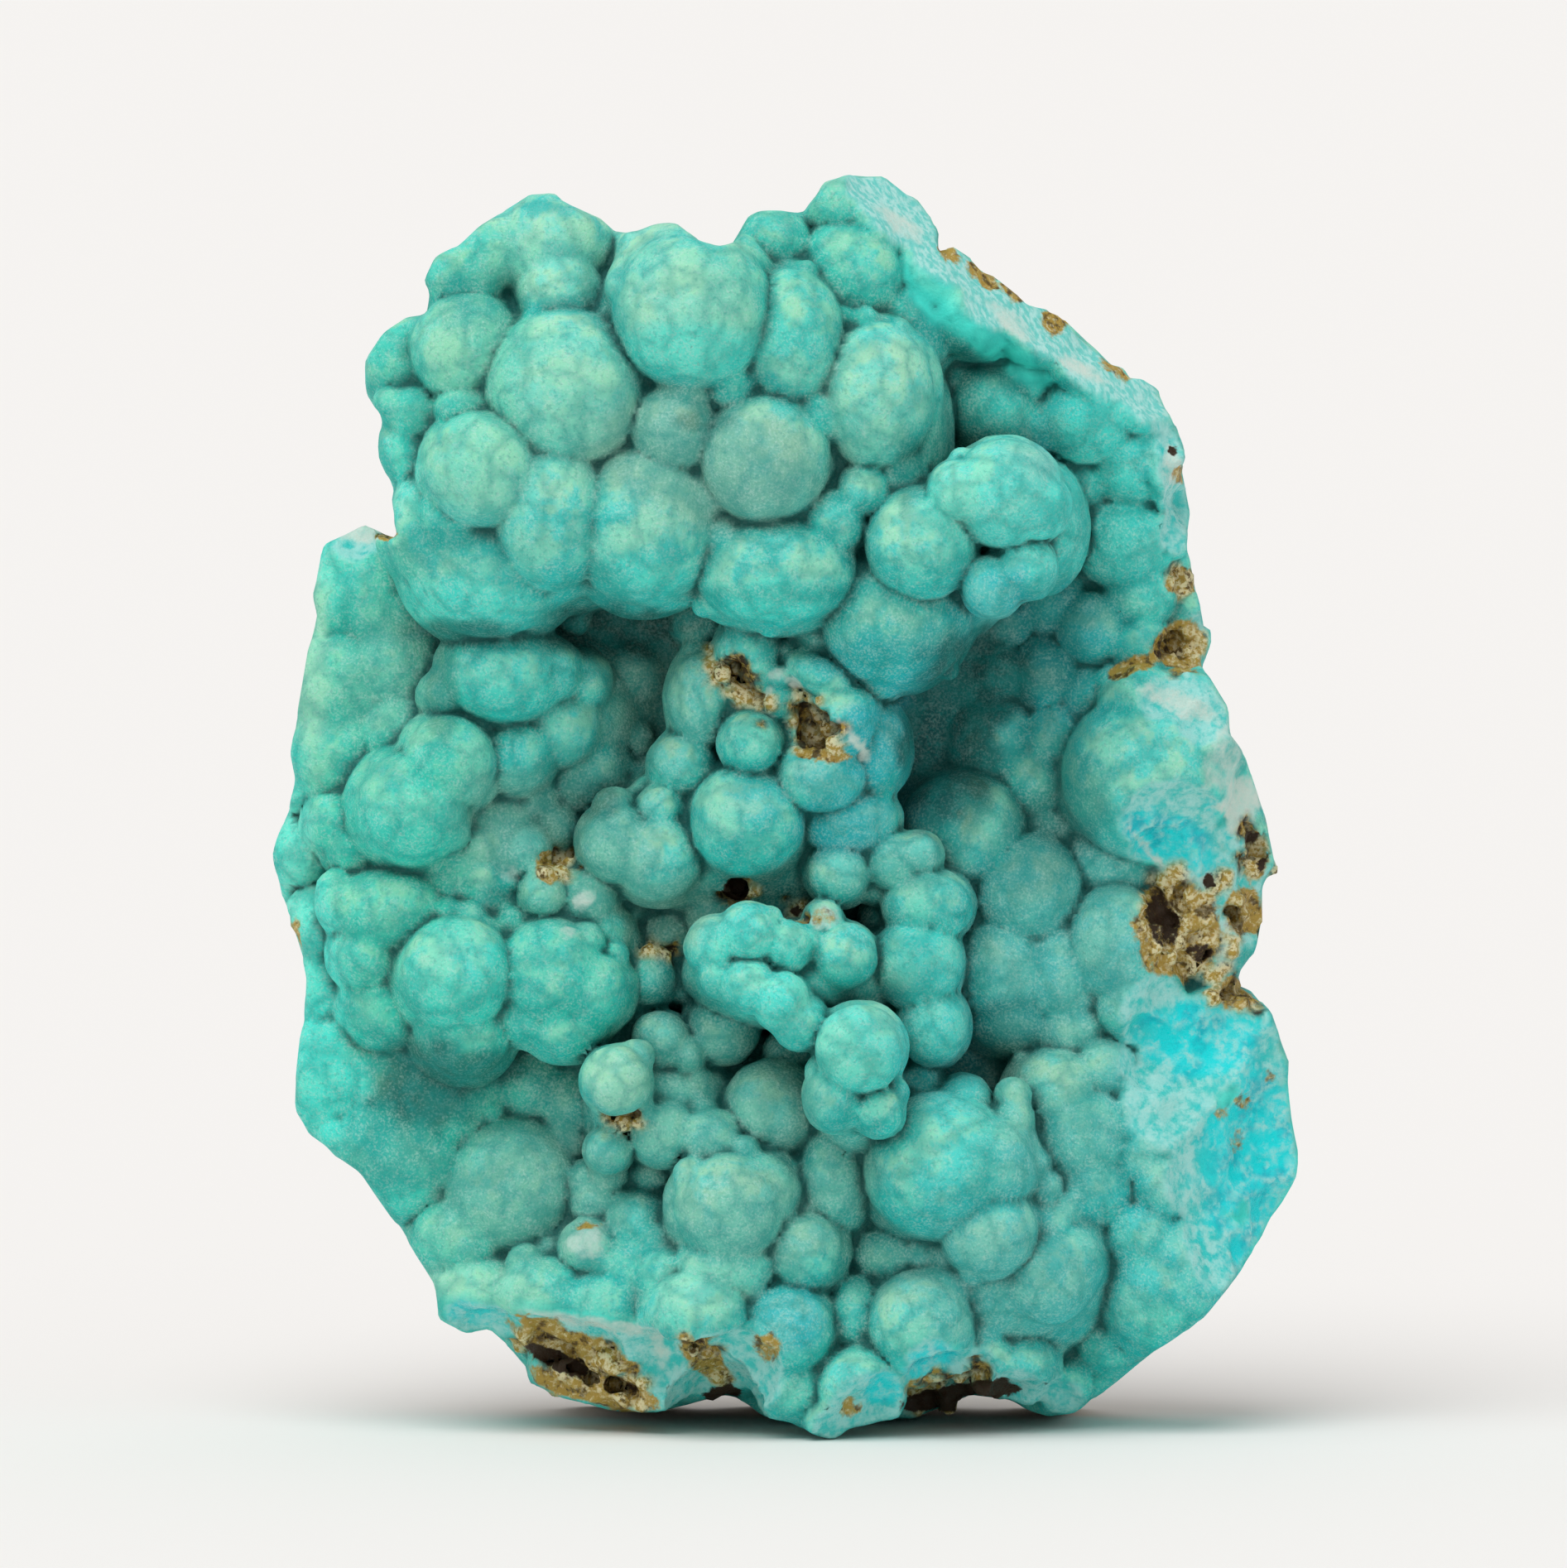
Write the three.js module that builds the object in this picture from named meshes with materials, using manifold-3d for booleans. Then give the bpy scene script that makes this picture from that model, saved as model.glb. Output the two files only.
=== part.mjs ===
// Blue aragonite: a botryoidal hand specimen, stood on its broken lower edge.
// Millimetres, +Z up, the grape-like face towards -Y, the origin on the floor under the middle of the piece.
import * as THREE from "three";
import { mergeVertices } from "three/addons/utils/BufferGeometryUtils.js";
import Module from "manifold-3d";

const wasm = await Module();
wasm.setup();

// The face was measured as it is seen from slightly above, by this angle.
const LOOK_DOWN = THREE.MathUtils.degToRad(5);

// The slab that carries the lumps: its front and back planes, and how its outline shrinks from front to back
// as pairs of depth and scale, towards a point low on its middle line.
const SLAB_PROFILE = [
  [-5, 0.96],
  [1, 1],
  [11, 0.94],
  [19.5, 0.76],
];
const SHRINK_TOWARDS = { x: 1, z: 14 };

// The middle of the whole piece, across and deep, measured from the slab's middle plane.
const MIDDLE = { x: 0.6, y: -4.5 };

// Corners nearer than this are one corner.
const SAME_CORNER = 1e-4;

// Floor trim: everything below the floor is cut away, which leaves the flat feet.
const TRIM_SIZE = 300;

// How round a lump is made: its flat-faced ball, from the least radius that gets it. Each ball is swollen a
// little past its nominal radius, so that it holds as much stone as a smooth one.
const BALLS = [
  { from: 6.3, ball: () => new THREE.IcosahedronGeometry(1.03, 1) },
  { from: 4.8, ball: () => new THREE.DodecahedronGeometry(1.09, 0) },
  { from: 0, ball: () => new THREE.IcosahedronGeometry(1.1, 0) },
];
const SWELLING_BALL = () => new THREE.IcosahedronGeometry(1.12, 0);
const FOOT_BALL = () => new THREE.IcosahedronGeometry(1.08, 0);
const BREAK_BALL = () => new THREE.IcosahedronGeometry(1.02, 1);

// Outline of the broken slab as seen from the front, clockwise from the top: across and up.
const OUTLINE = [
  [-3.5, 114.5], [3.8, 119.6], [9.5, 120.4], [15.1, 114.7], [15, 112.9], [20.5, 110.4], [25.4, 107.6],
  [31.5, 102.4], [36.2, 99.8], [38.7, 93.8], [38.9, 84.8], [41.3, 76], [40.4, 72.7], [42.7, 69],
  [45.5, 61.5], [47.4, 54], [46.2, 48.5], [43.8, 42.3], [47, 39.5], [48.8, 34], [49.6, 26], [46, 18],
  [40.5, 10.3], [35, 6.5], [28, 1.2], [21.5, 2.2], [12.5, 1.2], [-2, 2.5], [-16, 1.2], [-24.8, 3.8],
  [-28.5, 9], [-33.5, 10], [-39.5, 22], [-47.2, 30], [-46, 43], [-49.4, 55], [-47.3, 62], [-45, 78],
  [-44.5, 84.8], [-40.6, 86.8], [-35, 84], [-32, 100], [-25, 110], [-12, 111],
];

// Every lump is given as seen: across, up, how far its crown stands forward of the slab's middle plane, its
// half width, and where it isn't round its half height and its turn in degrees.

// Broad swellings under the lumps, which fill the body between the slab and the crowns: across, up, forward,
// half width, half height, turn and half depth.
const SWELLINGS = [
  [-17, 98, 21, 21.5, 16, 0, 15], [-24, 87, 20.5, 13, 9.5, 0, 13], [1, 96, 21, 13, 17, 0, 14],
  [14, 83, 20.5, 9, 8, 0, 13], [-40, 70, 8.5, 8, 19, 0, 7], [-35, 34, 12, 13, 14, 0, 11],
  [-32, 55, 14, 13, 12, 0, 10], [-23, 68, 11.5, 10, 9, 0, 9], [-9, 14, 18, 20, 12, 0, 15],
  [20, 17, 18, 15, 12, 0, 15], [35, 24, 12.5, 12, 13, 0, 11], [24, 49, 9, 12, 15, 0, 8], [40, 55, 9.5, 7, 16, 0, 8],
  [42, 32, 10, 8, 12, 0, 8], [-5, 57, 15.5, 15, 10, 0, 13], [3, 67, 16.5, 8, 7, 0, 10], [1, 43.5, 20.5, 11, 5.5, 0, 10],
  [-12, 31, 15.5, 9, 7, 0, 10], [7, 32, 21.5, 5, 7, 0, 10], [-20, 43, 15, 9, 9, 0, 10], [-8, 110, 17, 15, 6, 0, 12],
  [-16, 32.2, 18.6, 2.8, 4, 0, 4], [-5, 71, 15.5, 5, 7, 0, 9], [5, 23, 16, 6, 8, 0, 10], [14, 109, 13, 12, 6, -36, 9],
];

// The overhanging upper mass on the left.
const UPPER_MASS = [
  [-31, 110.5, 17.5, 4], [-28.3, 112.8, 17, 3.6], [-22.2, 113, 18, 5.4], [-21.5, 108.8, 20, 3.6],
  [-36.6, 102.4, 16.5, 4], [-30.6, 103.5, 21.5, 4.6], [-21, 99.5, 26, 6.8], [-8.8, 107.2, 28, 6.5],
  [0.5, 104.3, 25, 4.4, 5.9], [8.7, 99, 25, 4.8, 6], [11.9, 95.2, 20, 3.2, 6.5], [-10.5, 96, 25, 3.8],
  [-2, 93.2, 27, 5.4], [-29, 92, 26.5, 4.7], [-22.5, 88, 26, 5, 6.5], [-33.7, 86.5, 21, 4.2, 5],
  [-28, 81.5, 22.5, 7.3, 4.8], [-13.5, 87, 26, 6.3, 6.8], [-0.8, 82.5, 25.5, 6.6, 4.8],
  [-31.5, 87.5, 22.5, 3.6],
];

// The top edge behind the upper mass and the broken band down its right.
const TOP_EDGE = [
  [-12.5, 112.4, 19, 3.4], [-1.2, 113.4, 18, 3.5], [6, 110.6, 19, 5], [11.5, 106, 17.5, 3.8, 4.6, 40],
  [5.3, 117.5, 16, 3.6, 3], [10, 116.6, 17, 4, 3.6], [13.6, 110.4, 16.5, 4.2, 3.2, -45],
  [17, 106.6, 16.5, 4.4, 3, -30], [18, 110.3, 14.5, 3.8, 2.8, -40], [23.2, 105.4, 14.5, 4.4, 2.8, -35],
  [28.6, 101.6, 13.5, 4, 2.2, -30],
];

// The kidney-shaped cluster and the big ball under it.
const KIDNEY = [
  [13.3, 85, 26.5, 5.4], [16.8, 89.8, 26.5, 3], [21.2, 89.6, 27.5, 5.2], [24.2, 88.4, 26.5, 3.2],
  [20, 80.8, 25.5, 2.9], [23.2, 82.5, 25.5, 2.9], [24.8, 86.5, 19, 4.2, 6], [10.5, 78.2, 23, 7.3],
  [3.6, 76.6, 18, 3.6], [9.2, 73.2, 19, 3.2],
];

// The right hollow, in low relief.
const RIGHT_HOLLOW = [
  [19, 98.6, 6, 4.6], [29, 97.3, 11, 4.1], [33.5, 93, 9.5, 4], [32.8, 85.3, 9.5, 4.1], [34, 80, 8.5, 3.1],
  [25.5, 72.5, 4.5, 3.4], [20.5, 65.3, 6.5, 4.7], [24, 62.2, 7.5, 4], [26, 79.5, 3.5, 3.4],
];

// The right side from the big rim lump down to the lower corner.
const RIGHT_SIDE = [
  [35, 62.5, 15.5, 7], [38.5, 66.8, 14, 5.2], [34.5, 69, 12.5, 3.6], [17.2, 57, 12, 5.2],
  [23.4, 51.5, 12.5, 4.7], [31.3, 54.3, 9.5, 4.3], [20.8, 44, 12.5, 4.7], [26.8, 43.6, 12, 4.3, 5],
  [22.2, 39.8, 11, 4.4, 3.6], [27.5, 38.3, 11, 4.2, 3.8], [31.8, 46.2, 13.5, 4, 5], [34, 40.8, 13, 3.6],
  [40.5, 36.5, 12.5, 6.6, 4.6, 25], [44.6, 31, 9.5, 4.4, 5], [45.6, 25.5, 9, 4, 5],
  [43.5, 20.8, 8.5, 3, 4], [26.2, 31.7, 14, 4], [28.6, 27.6, 15, 4.6], [29.6, 22.8, 14.5, 4.2],
  [36.5, 29.6, 14.5, 4.6], [36.8, 23.2, 14.5, 3.1], [38, 13.4, 15.5, 7], [34.4, 18.2, 14.5, 3.4],
  [31.5, 8.4, 10, 3.6],
];

// The lower right lumps that stand well forward, and the string of beads beside them.
const LOWER_RIGHT = [
  [15, 24.8, 23.5, 6.9, 6.6], [19.2, 25, 22, 4.6], [19.6, 18.6, 22, 4.3], [25.2, 14.4, 19, 4.6],
  [27.3, 15.6, 18, 3.2], [10.6, 16.4, 16, 4.6, 3.4], [14.8, 13, 18.5, 3.8, 2.6], [13, 9.6, 21.5, 4.8],
  [6.7, 10.4, 18, 2.6, 3.8], [7, 3.4, 21.5, 3.8], [22.8, 5.4, 15.5, 3.2],
];

// The bottom and the lower left.
const BOTTOM = [
  [-5.3, 20.8, 22.5, 4.7], [-2.8, 22, 20.5, 3.8], [1.8, 16.7, 20, 3.4], [4.8, 23.8, 18.5, 3, 4.5],
  [-5.8, 15.2, 21, 4.4, 3], [-8.4, 10.6, 22.5, 4.5, 3.9], [-10.6, 6.2, 19, 3.4, 4], [0, 9, 21.5, 4.1],
  [0.6, 4.2, 19.5, 4, 3.6], [-17.2, 11.6, 18, 3.8, 3.2], [-23, 12.6, 17, 4.4, 3.2],
  [-29, 12.6, 14.5, 4.6, 3.4], [-26.5, 22.6, 14, 6.6], [-36.5, 26.5, 12.5, 6.5], [-31, 18, 13, 4.4],
  [-18.5, 5.6, 14, 4.6, 3.4],
];

// The left side, broad and smooth.
const LEFT_SIDE = [
  [-36, 59.3, 19, 4.8], [-32.3, 63.8, 18.5, 3.9], [-42.3, 64.4, 11.5, 4.6], [-42.3, 71, 11, 4.6],
  [-37.4, 72.5, 10.5, 4.6], [-37.8, 79, 9.5, 5.4], [-38, 49.5, 16.5, 4.8, 3.8], [-38.2, 40.6, 14.5, 4.2],
  [-31.7, 43.4, 20.5, 4.9], [-31, 38.2, 18, 4.2], [-43, 33, 11, 4.8], [-33.6, 31, 12.5, 6],
];

// The middle left, between the upper mass and the bottom.
const MIDDLE_LEFT = [
  [-27.5, 72.3, 18.5, 5.6, 4.8], [-22, 67.4, 14, 3.6], [-26, 64.6, 15.5, 3.2], [-19.6, 63, 11, 4.3],
  [-22.6, 43.4, 19.5, 4.6], [-18.8, 41.8, 18.5, 3.4], [-24.5, 33, 10.5, 4.2], [-20.4, 31.2, 11, 3.6],
  [-14.7, 72.3, 7, 3.1],
];

// The middle, with the broken hollow knob.
const CENTRE = [
  [-8, 70, 16.5, 2.9, 4.4], [-3.5, 74, 19, 2.8, 3.8], [3.4, 62.6, 20.5, 3.8, 3.2],
  [5.2, 67.6, 21, 3, 3.6, -40], [8.4, 65.2, 17.5, 3.2, 4.2], [6, 58.3, 17.5, 4.3, 3.4],
  [-3.6, 58.2, 21, 4.9], [-16, 56, 17.5, 3.4], [-12.2, 54.8, 18, 4],
];

// The fingers that stand furthest forward, and the lumps round them.
const FINGERS = [
  [-6.5, 46, 23, 2.8], [-3.4, 47.3, 24, 2.8], [0, 46, 23, 2.5], [5.7, 45.1, 22, 3.1],
  [-3.5, 42.2, 25, 2.6], [-0.4, 40.8, 25.5, 2.7], [1.5, 38.7, 25, 2.5], [7.3, 36.2, 28.5, 4.1],
  [5, 31.6, 26, 3, 3.2], [13.7, 50, 18, 4.2, 3.6], [12.4, 44.6, 19, 4.2], [14, 38.6, 17, 3.3, 3.8],
  [17.3, 31, 17, 2.5], [-16.2, 33.1, 22.5, 3.2], [-11.6, 28, 18, 3.3], [-7.2, 27.3, 18.5, 3.1],
  [-12, 37, 15.5, 2.7], [-12, 32.6, 12.5, 2.6], [-8.4, 32.4, 12.5, 2.8], [-6, 38, 14.5, 3.4],
  [-1, 30.4, 17.5, 4.7], [0.6, 35.6, 13, 2.6],
];

// A pit's ellipsoid is this much longer towards the front than it is wide.
const PIT_STRETCH = 2.4;

// Hollows broken or weathered out of the surface: as seen, with the depth of the floor of each instead of a
// crown, the half width, the half height and the turn.
const PITS = [
  [3.2, 67, 14, 2.6, 2.8, 40], [-4.2, 71.2, 10, 1.6, 3.2, 48], [-22.2, 54.2, 10, 1.7, 1.3], [38.3, 47.8, 7, 3.4, 3.8],
  [38.2, 75, 6, 2.2, 2.2], [38.2, 81.3, 7, 1.6, 1.3], [45.5, 55.5, 4, 2, 2.4], [44.2, 41.4, 3, 2.4, 1.6],
  [-21.8, 5.9, 7, 3.4, 1.8, -25], [-7.8, 6, 14.5, 2.4, 1.6, -35], [16.2, 3.2, 9, 3.6, 1.7, 20],
];

// Shell-shaped breaks: balls that took a bite out of the edge, as seen: across, up, forward and radius.
const BREAKS = [
  [44, 50, 25, 15.5], [42, 35, 31, 21], [50, 23, 23, 16], [13, -8, 31, 16.5],
];

// Flat breaks on the hidden back: the plane's nearest point to the middle of the slab and its outward way.
const BACK_BREAKS = [
  { at: [-28, 12, 70], out: [-0.62, 0.75, 0.2] },
  { at: [30, 12, 66], out: [0.6, 0.78, 0.12] },
  { at: [4, 13, 96], out: [0.1, 0.72, 0.68] },
  { at: [-12, 18.5, 40], out: [-0.18, 0.98, -0.08] },
  { at: [22, 17, 24], out: [0.42, 0.9, -0.1] },
  { at: [-24, 15, 22], out: [-0.5, 0.85, -0.18] },
  { at: [6, 18, 62], out: [0.12, 0.97, 0.2] },
];

// Feet that reach the floor, as low ellipsoids cut by it: across, depth, half width, half depth and half height.
const FEET = [
  [5, -17.2, 3.4, 3.8, 3.4],
  [-15.5, 10.5, 8, 7, 4],
  [25, 8.5, 7, 7, 4],
  [5, 12, 14, 6, 3.6],
];
// Where the middle of a foot's ellipsoid stands, as a share of its half height.
const FOOT_MIDDLE = 0.4;

// Height above the floor of a point that is seen at a height and lies at a depth.
function heightOf(up, depth) {
  return (up - depth * Math.sin(LOOK_DOWN)) / Math.cos(LOOK_DOWN);
}

// A closed geometry as a solid, with only its positions and its shared corners joined.
function solidOf(geometry) {
  geometry.deleteAttribute("normal");
  geometry.deleteAttribute("uv");
  const merged = mergeVertices(geometry, SAME_CORNER);
  return new wasm.Manifold(
    new wasm.Mesh({
      numProp: 3,
      vertProperties: merged.attributes.position.array,
      triVerts: new Uint32Array(merged.index.array),
    }),
  );
}

// A solid as a geometry with one normal to each face.
function geometryOf(solid) {
  const mesh = solid.getMesh();
  const geometry = new THREE.BufferGeometry();
  geometry.setAttribute("position", new THREE.BufferAttribute(mesh.vertProperties, 3));
  geometry.setIndex(new THREE.BufferAttribute(mesh.triVerts, 1));
  return geometry;
}

// An ellipsoid of flat faces from a unit ball: its half sizes, its middle and its turn as seen from the front.
function ellipsoid({ ball, half, at, turn = 0 }) {
  const geometry = ball();
  geometry.scale(half[0], half[1], half[2]);
  geometry.rotateY(THREE.MathUtils.degToRad(-turn));
  geometry.translate(at[0], at[1], at[2]);
  return solidOf(geometry);
}

// A lump from its row: its middle lies behind its crown by its half depth, which is the mean of its half width
// and half height if the row gives none.
function lump(row, chosenBall) {
  const [across, up, forward, halfWidth, halfHeight = halfWidth, turn = 0] = row;
  const halfDepth = row[6] ?? (halfWidth + halfHeight) / 2;
  const depth = halfDepth - forward;
  return ellipsoid({
    ball: chosenBall ?? BALLS.find(({ from }) => halfDepth >= from).ball,
    half: [halfWidth, halfDepth, halfHeight],
    at: [across, depth, heightOf(up, depth)],
    turn,
  });
}

// A pit from its row: an ellipsoid open to the front, with its middle well in front of its floor.
function pit([across, up, floor, halfWidth, halfHeight, turn = 0]) {
  const halfDepth = PIT_STRETCH * Math.max(halfWidth, halfHeight);
  const depth = -floor - halfDepth;
  return ellipsoid({
    ball: BALLS.at(-1).ball,
    half: [halfWidth, halfDepth, halfHeight],
    at: [across, depth, heightOf(up, depth)],
    turn,
  });
}

// A shell-shaped break from its row.
function shellBreak([across, up, forward, radius]) {
  return ellipsoid({
    ball: BREAK_BALL,
    half: [radius, radius, radius],
    at: [across, -forward, heightOf(up, -forward)],
  });
}

// A half space beyond a plane, as one big box.
function beyond({ at, out }) {
  const geometry = new THREE.BoxGeometry(TRIM_SIZE, TRIM_SIZE, TRIM_SIZE);
  const outward = new THREE.Vector3(...out).normalize();
  geometry.applyQuaternion(
    new THREE.Quaternion().setFromUnitVectors(new THREE.Vector3(0, 0, 1), outward),
  );
  const middle = new THREE.Vector3(...at).addScaledVector(outward, TRIM_SIZE / 2);
  geometry.translate(middle.x, middle.y, middle.z);
  return solidOf(geometry);
}

// The slab: the outline extruded from front to back, and shrunk by its profile at each step.
function slab() {
  const shape = new THREE.Shape(OUTLINE.map(([x, up]) => new THREE.Vector2(x, heightOf(up, 0))));
  const steps = SLAB_PROFILE.length - 1;
  const geometry = new THREE.ExtrudeGeometry(shape, { depth: steps, steps, bevelEnabled: false });
  const position = geometry.attributes.position;
  for (let i = 0; i < position.count; i += 1) {
    const [depth, scale] = SLAB_PROFILE[Math.round(position.getZ(i))];
    const x = SHRINK_TOWARDS.x + (position.getX(i) - SHRINK_TOWARDS.x) * scale;
    const z = SHRINK_TOWARDS.z + (position.getY(i) - SHRINK_TOWARDS.z) * scale;
    position.setXYZ(i, x, depth, z);
  }
  const index = [];
  for (let i = 0; i < position.count; i += 3) index.push(i, i + 2, i + 1);
  geometry.setIndex(index);
  return solidOf(geometry);
}

// One of the feet.
function foot([across, depth, halfWidth, halfBack, halfHeight]) {
  return ellipsoid({
    ball: FOOT_BALL,
    half: [halfWidth, halfBack, halfHeight],
    at: [across, depth, halfHeight * FOOT_MIDDLE],
  });
}

// The biggest body of a solid, without the crumbs that a break cuts loose and the bubbles shut in between lumps.
function biggestOf(solid) {
  return solid.decompose().reduce((best, body) => (body.volume() > best.volume() ? body : best));
}

// The whole specimen as one solid: swellings and lumps joined to the slab, then pits, breaks and floor cut.
function specimen() {
  const lumps = [
    UPPER_MASS, TOP_EDGE, KIDNEY, RIGHT_HOLLOW, RIGHT_SIDE, LOWER_RIGHT, BOTTOM, LEFT_SIDE, MIDDLE_LEFT,
    CENTRE, FINGERS,
  ].flat();
  let solid = slab();
  for (const plane of BACK_BREAKS) solid = solid.subtract(beyond(plane));
  for (const row of FEET) solid = solid.add(foot(row));
  for (const row of SWELLINGS) solid = solid.add(lump(row, SWELLING_BALL));
  for (const row of lumps) solid = solid.add(lump(row));
  for (const row of PITS) solid = solid.subtract(pit(row));
  for (const row of BREAKS) solid = solid.subtract(shellBreak(row));
  const trimmed = biggestOf(solid.subtract(beyond({ at: [0, 0, 0], out: [0, 0, -1] })));
  return trimmed.translate([-MIDDLE.x, -MIDDLE.y, 0]);
}

const stone = new THREE.MeshStandardMaterial({ color: 0x4fbfae, roughness: 0.62, metalness: 0 });
const blueAragonite = new THREE.Mesh(geometryOf(specimen()), stone);
blueAragonite.name = "blue_aragonite";

const group = new THREE.Group();
group.add(blueAragonite);

export default group;
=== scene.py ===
"""Blue aragonite: a botryoidal hand specimen that stands on its broken lower edge, in a plain studio."""

import itertools
import logging
import math
from dataclasses import dataclass, field
from enum import Enum

import bpy
import numpy as np
from mathutils import Matrix, Vector


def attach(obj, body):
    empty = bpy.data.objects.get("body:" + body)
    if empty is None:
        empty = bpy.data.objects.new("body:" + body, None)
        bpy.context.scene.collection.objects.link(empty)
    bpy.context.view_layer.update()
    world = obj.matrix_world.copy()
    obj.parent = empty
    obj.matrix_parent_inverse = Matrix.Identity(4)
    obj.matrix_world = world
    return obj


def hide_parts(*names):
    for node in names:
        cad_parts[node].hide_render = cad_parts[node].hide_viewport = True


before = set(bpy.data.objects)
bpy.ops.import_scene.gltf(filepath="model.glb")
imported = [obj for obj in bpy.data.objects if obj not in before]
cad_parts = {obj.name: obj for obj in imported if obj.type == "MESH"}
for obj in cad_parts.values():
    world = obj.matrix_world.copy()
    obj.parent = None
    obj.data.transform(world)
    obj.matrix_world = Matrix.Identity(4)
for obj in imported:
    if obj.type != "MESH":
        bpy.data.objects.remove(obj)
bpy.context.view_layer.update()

NODE = "blue_aragonite"
LOG = logging.getLogger("blue_aragonite")

# One millimetre in the scene's metres. All sizes below are in millimetres unless they say otherwise.
MM = 0.001

# The face was measured as it is seen from slightly above, by this angle in radians.
LOOK_DOWN = math.radians(5)

# The middle of the whole piece, measured from the slab's middle plane: across, deep, up.
MIDDLE = np.array([0.6, -4.5, 0.0])

# What the noises below stir their keys with.
HASH_PRIMES = np.array([73856093, 19349663, 83492791])
HASH_SEED = 2654435761
HASH_STIR = 1274126177

Array = np.ndarray
Row = tuple[float, ...]
Socket = bpy.types.NodeSocket


def height_of(up: float, depth: float) -> float:
    """Height above the floor of a point that is seen at a height and lies at a depth.

    Args:
        up: the height as seen by the camera that looks down a little.
        depth: the depth behind the slab's middle plane.

    Returns:
        (up - depth x sine of the angle) / cosine of the angle.
    """
    return (up - depth * math.sin(LOOK_DOWN)) / math.cos(LOOK_DOWN)


def seen_height(height: Array, depth: Array) -> Array:
    """The height at which places are seen: height x cosine + depth x sine of the angle looked down by."""
    return height * math.cos(LOOK_DOWN) + depth * math.sin(LOOK_DOWN)


def turned(along: Array, rise: Array, degrees: float) -> tuple[Array, Array]:
    """A step across and up, turned anticlockwise by an angle.

    Args:
        along: the step across before the turn.
        rise: the step up before the turn.
        degrees: the angle.

    Returns:
        along x cosine - rise x sine, and rise x cosine + along x sine.
    """
    angle = math.radians(degrees)
    across = along * math.cos(angle) - rise * math.sin(angle)
    return across, rise * math.cos(angle) + along * math.sin(angle)


def ease(values: Array, start: float, end: float) -> Array:
    """A smooth step from 0 at start to 1 at end: 3t^2 - 2t^3 of the clamped share t of the way."""
    share = np.clip((values - start) / (end - start), 0, 1)
    return share * share * (3 - 2 * share)


def stirred(key: Array) -> Array:
    """A key whose bits are spread: (key xor key / 2^13) x a large number, kept to 31 bits."""
    return (key ^ (key >> 13)) * HASH_STIR & 0x7FFFFFFF


def fraction(key: Array) -> Array:
    """A number from 0 to 1: the lowest 16 bits of (key xor key / 2^15), divided by 65535."""
    return (key ^ (key >> 15)) % 65536 / 65535


def lattice_noise(points: Array, cell: float, seed: int) -> Array:
    """Smooth noise in space: a hashed number on each corner of a cube lattice, blended across each cube.

    The blend is the sum over the eight corners of number x product of the three eased distances, where the
    ease is 3t^2 - 2t^3.

    Args:
        points: places as an array whose last axis is across, deep, up.
        cell: the lattice's cube size.
        seed: chooses the numbers.

    Returns:
        One value from -1 to 1 for each place.
    """
    scaled = points / cell
    corner = np.floor(scaled).astype(np.int64)
    part = scaled - corner
    eased = part * part * (3 - 2 * part)
    total = np.zeros(points.shape[:-1])
    for offset in itertools.product((0, 1), repeat=3):
        key = (corner + np.array(offset)) * HASH_PRIMES
        key = key[..., 0] ^ key[..., 1] ^ key[..., 2] ^ seed * HASH_SEED
        weight = np.prod(np.where(offset, eased, 1 - eased), axis=-1)
        total += weight * (2 * fraction(stirred(key)) - 1)
    return total


def cell_distances(points: Array, cell: float, seed: int) -> tuple[Array, Array]:
    """How far places are from the two nearest of a scatter of dots in space, one dot in each lattice cube.

    A dot lies at its cube's corner + the cube's size x three hashed numbers from 0 to 1, and the distances
    are the least and the second least over the 27 cubes round a place.

    Args:
        points: places, one in each row.
        cell: the lattice's cube size.
        seed: chooses the scatter.

    Returns:
        The nearest and the second nearest distance, divided by the cube size.
    """
    scaled = points / cell
    corner = np.floor(scaled).astype(np.int64)
    nearest = np.full(len(points), np.inf)
    second = nearest.copy()
    for offset in itertools.product((-1, 0, 1), repeat=3):
        key = corner + np.array(offset)
        mixed = key @ HASH_PRIMES + seed * HASH_SEED
        numbers = []
        for _ in range(3):
            mixed = stirred(mixed)
            numbers.append(fraction(mixed))
        far = np.linalg.norm(scaled - key - np.stack(numbers, axis=1), axis=1)
        second = np.minimum(second, np.maximum(far, nearest))
        nearest = np.minimum(nearest, far)
    return nearest, second


@dataclass(frozen=True)
class Lump:
    """One grape-like lump, as seen from the front: an ellipsoid whose crown stands forward of the slab."""

    across: float
    up: float
    forward: float
    half_width: float
    half_height: float | None = None
    turn: float = 0.0
    half_depth: float | None = None

    def half_sizes(self) -> Array:
        """Half width, half depth and half height; the depth is the mean of the others if none is given."""
        tall = self.half_height or self.half_width
        deep = self.half_depth or (self.half_width + tall) / 2
        return np.array([self.half_width, deep, tall])

    def middle(self) -> Array:
        """The ellipsoid's middle: its half depth behind its crown, at the height that shows at `up`."""
        depth = self.half_sizes()[1] - self.forward
        return np.array([self.across, depth, height_of(self.up, depth)])


@dataclass(frozen=True)
class Plane:
    """A flat break: a point on it and the way out of the stone."""

    at: Row
    out: Row

    def distance(self, grids: list[Array]) -> Array:
        """Signed distance beyond the plane: the place's offset from its point, along its outward way."""
        outward = np.array(self.out) / np.linalg.norm(self.out)
        return sum((grid - at) * way for grid, at, way in zip(grids, self.at, outward))


# Numbers that mark broken faces, pit walls, the crumbs in pits and the fibrous bevel, above the lumps' own.
FRESH, PIT, CRUMB, FIBRE = 30001, 30002, 30003, 30004

# The distance that the grid holds where there is no stone near.
FAR_OUT = 20.0


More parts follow.
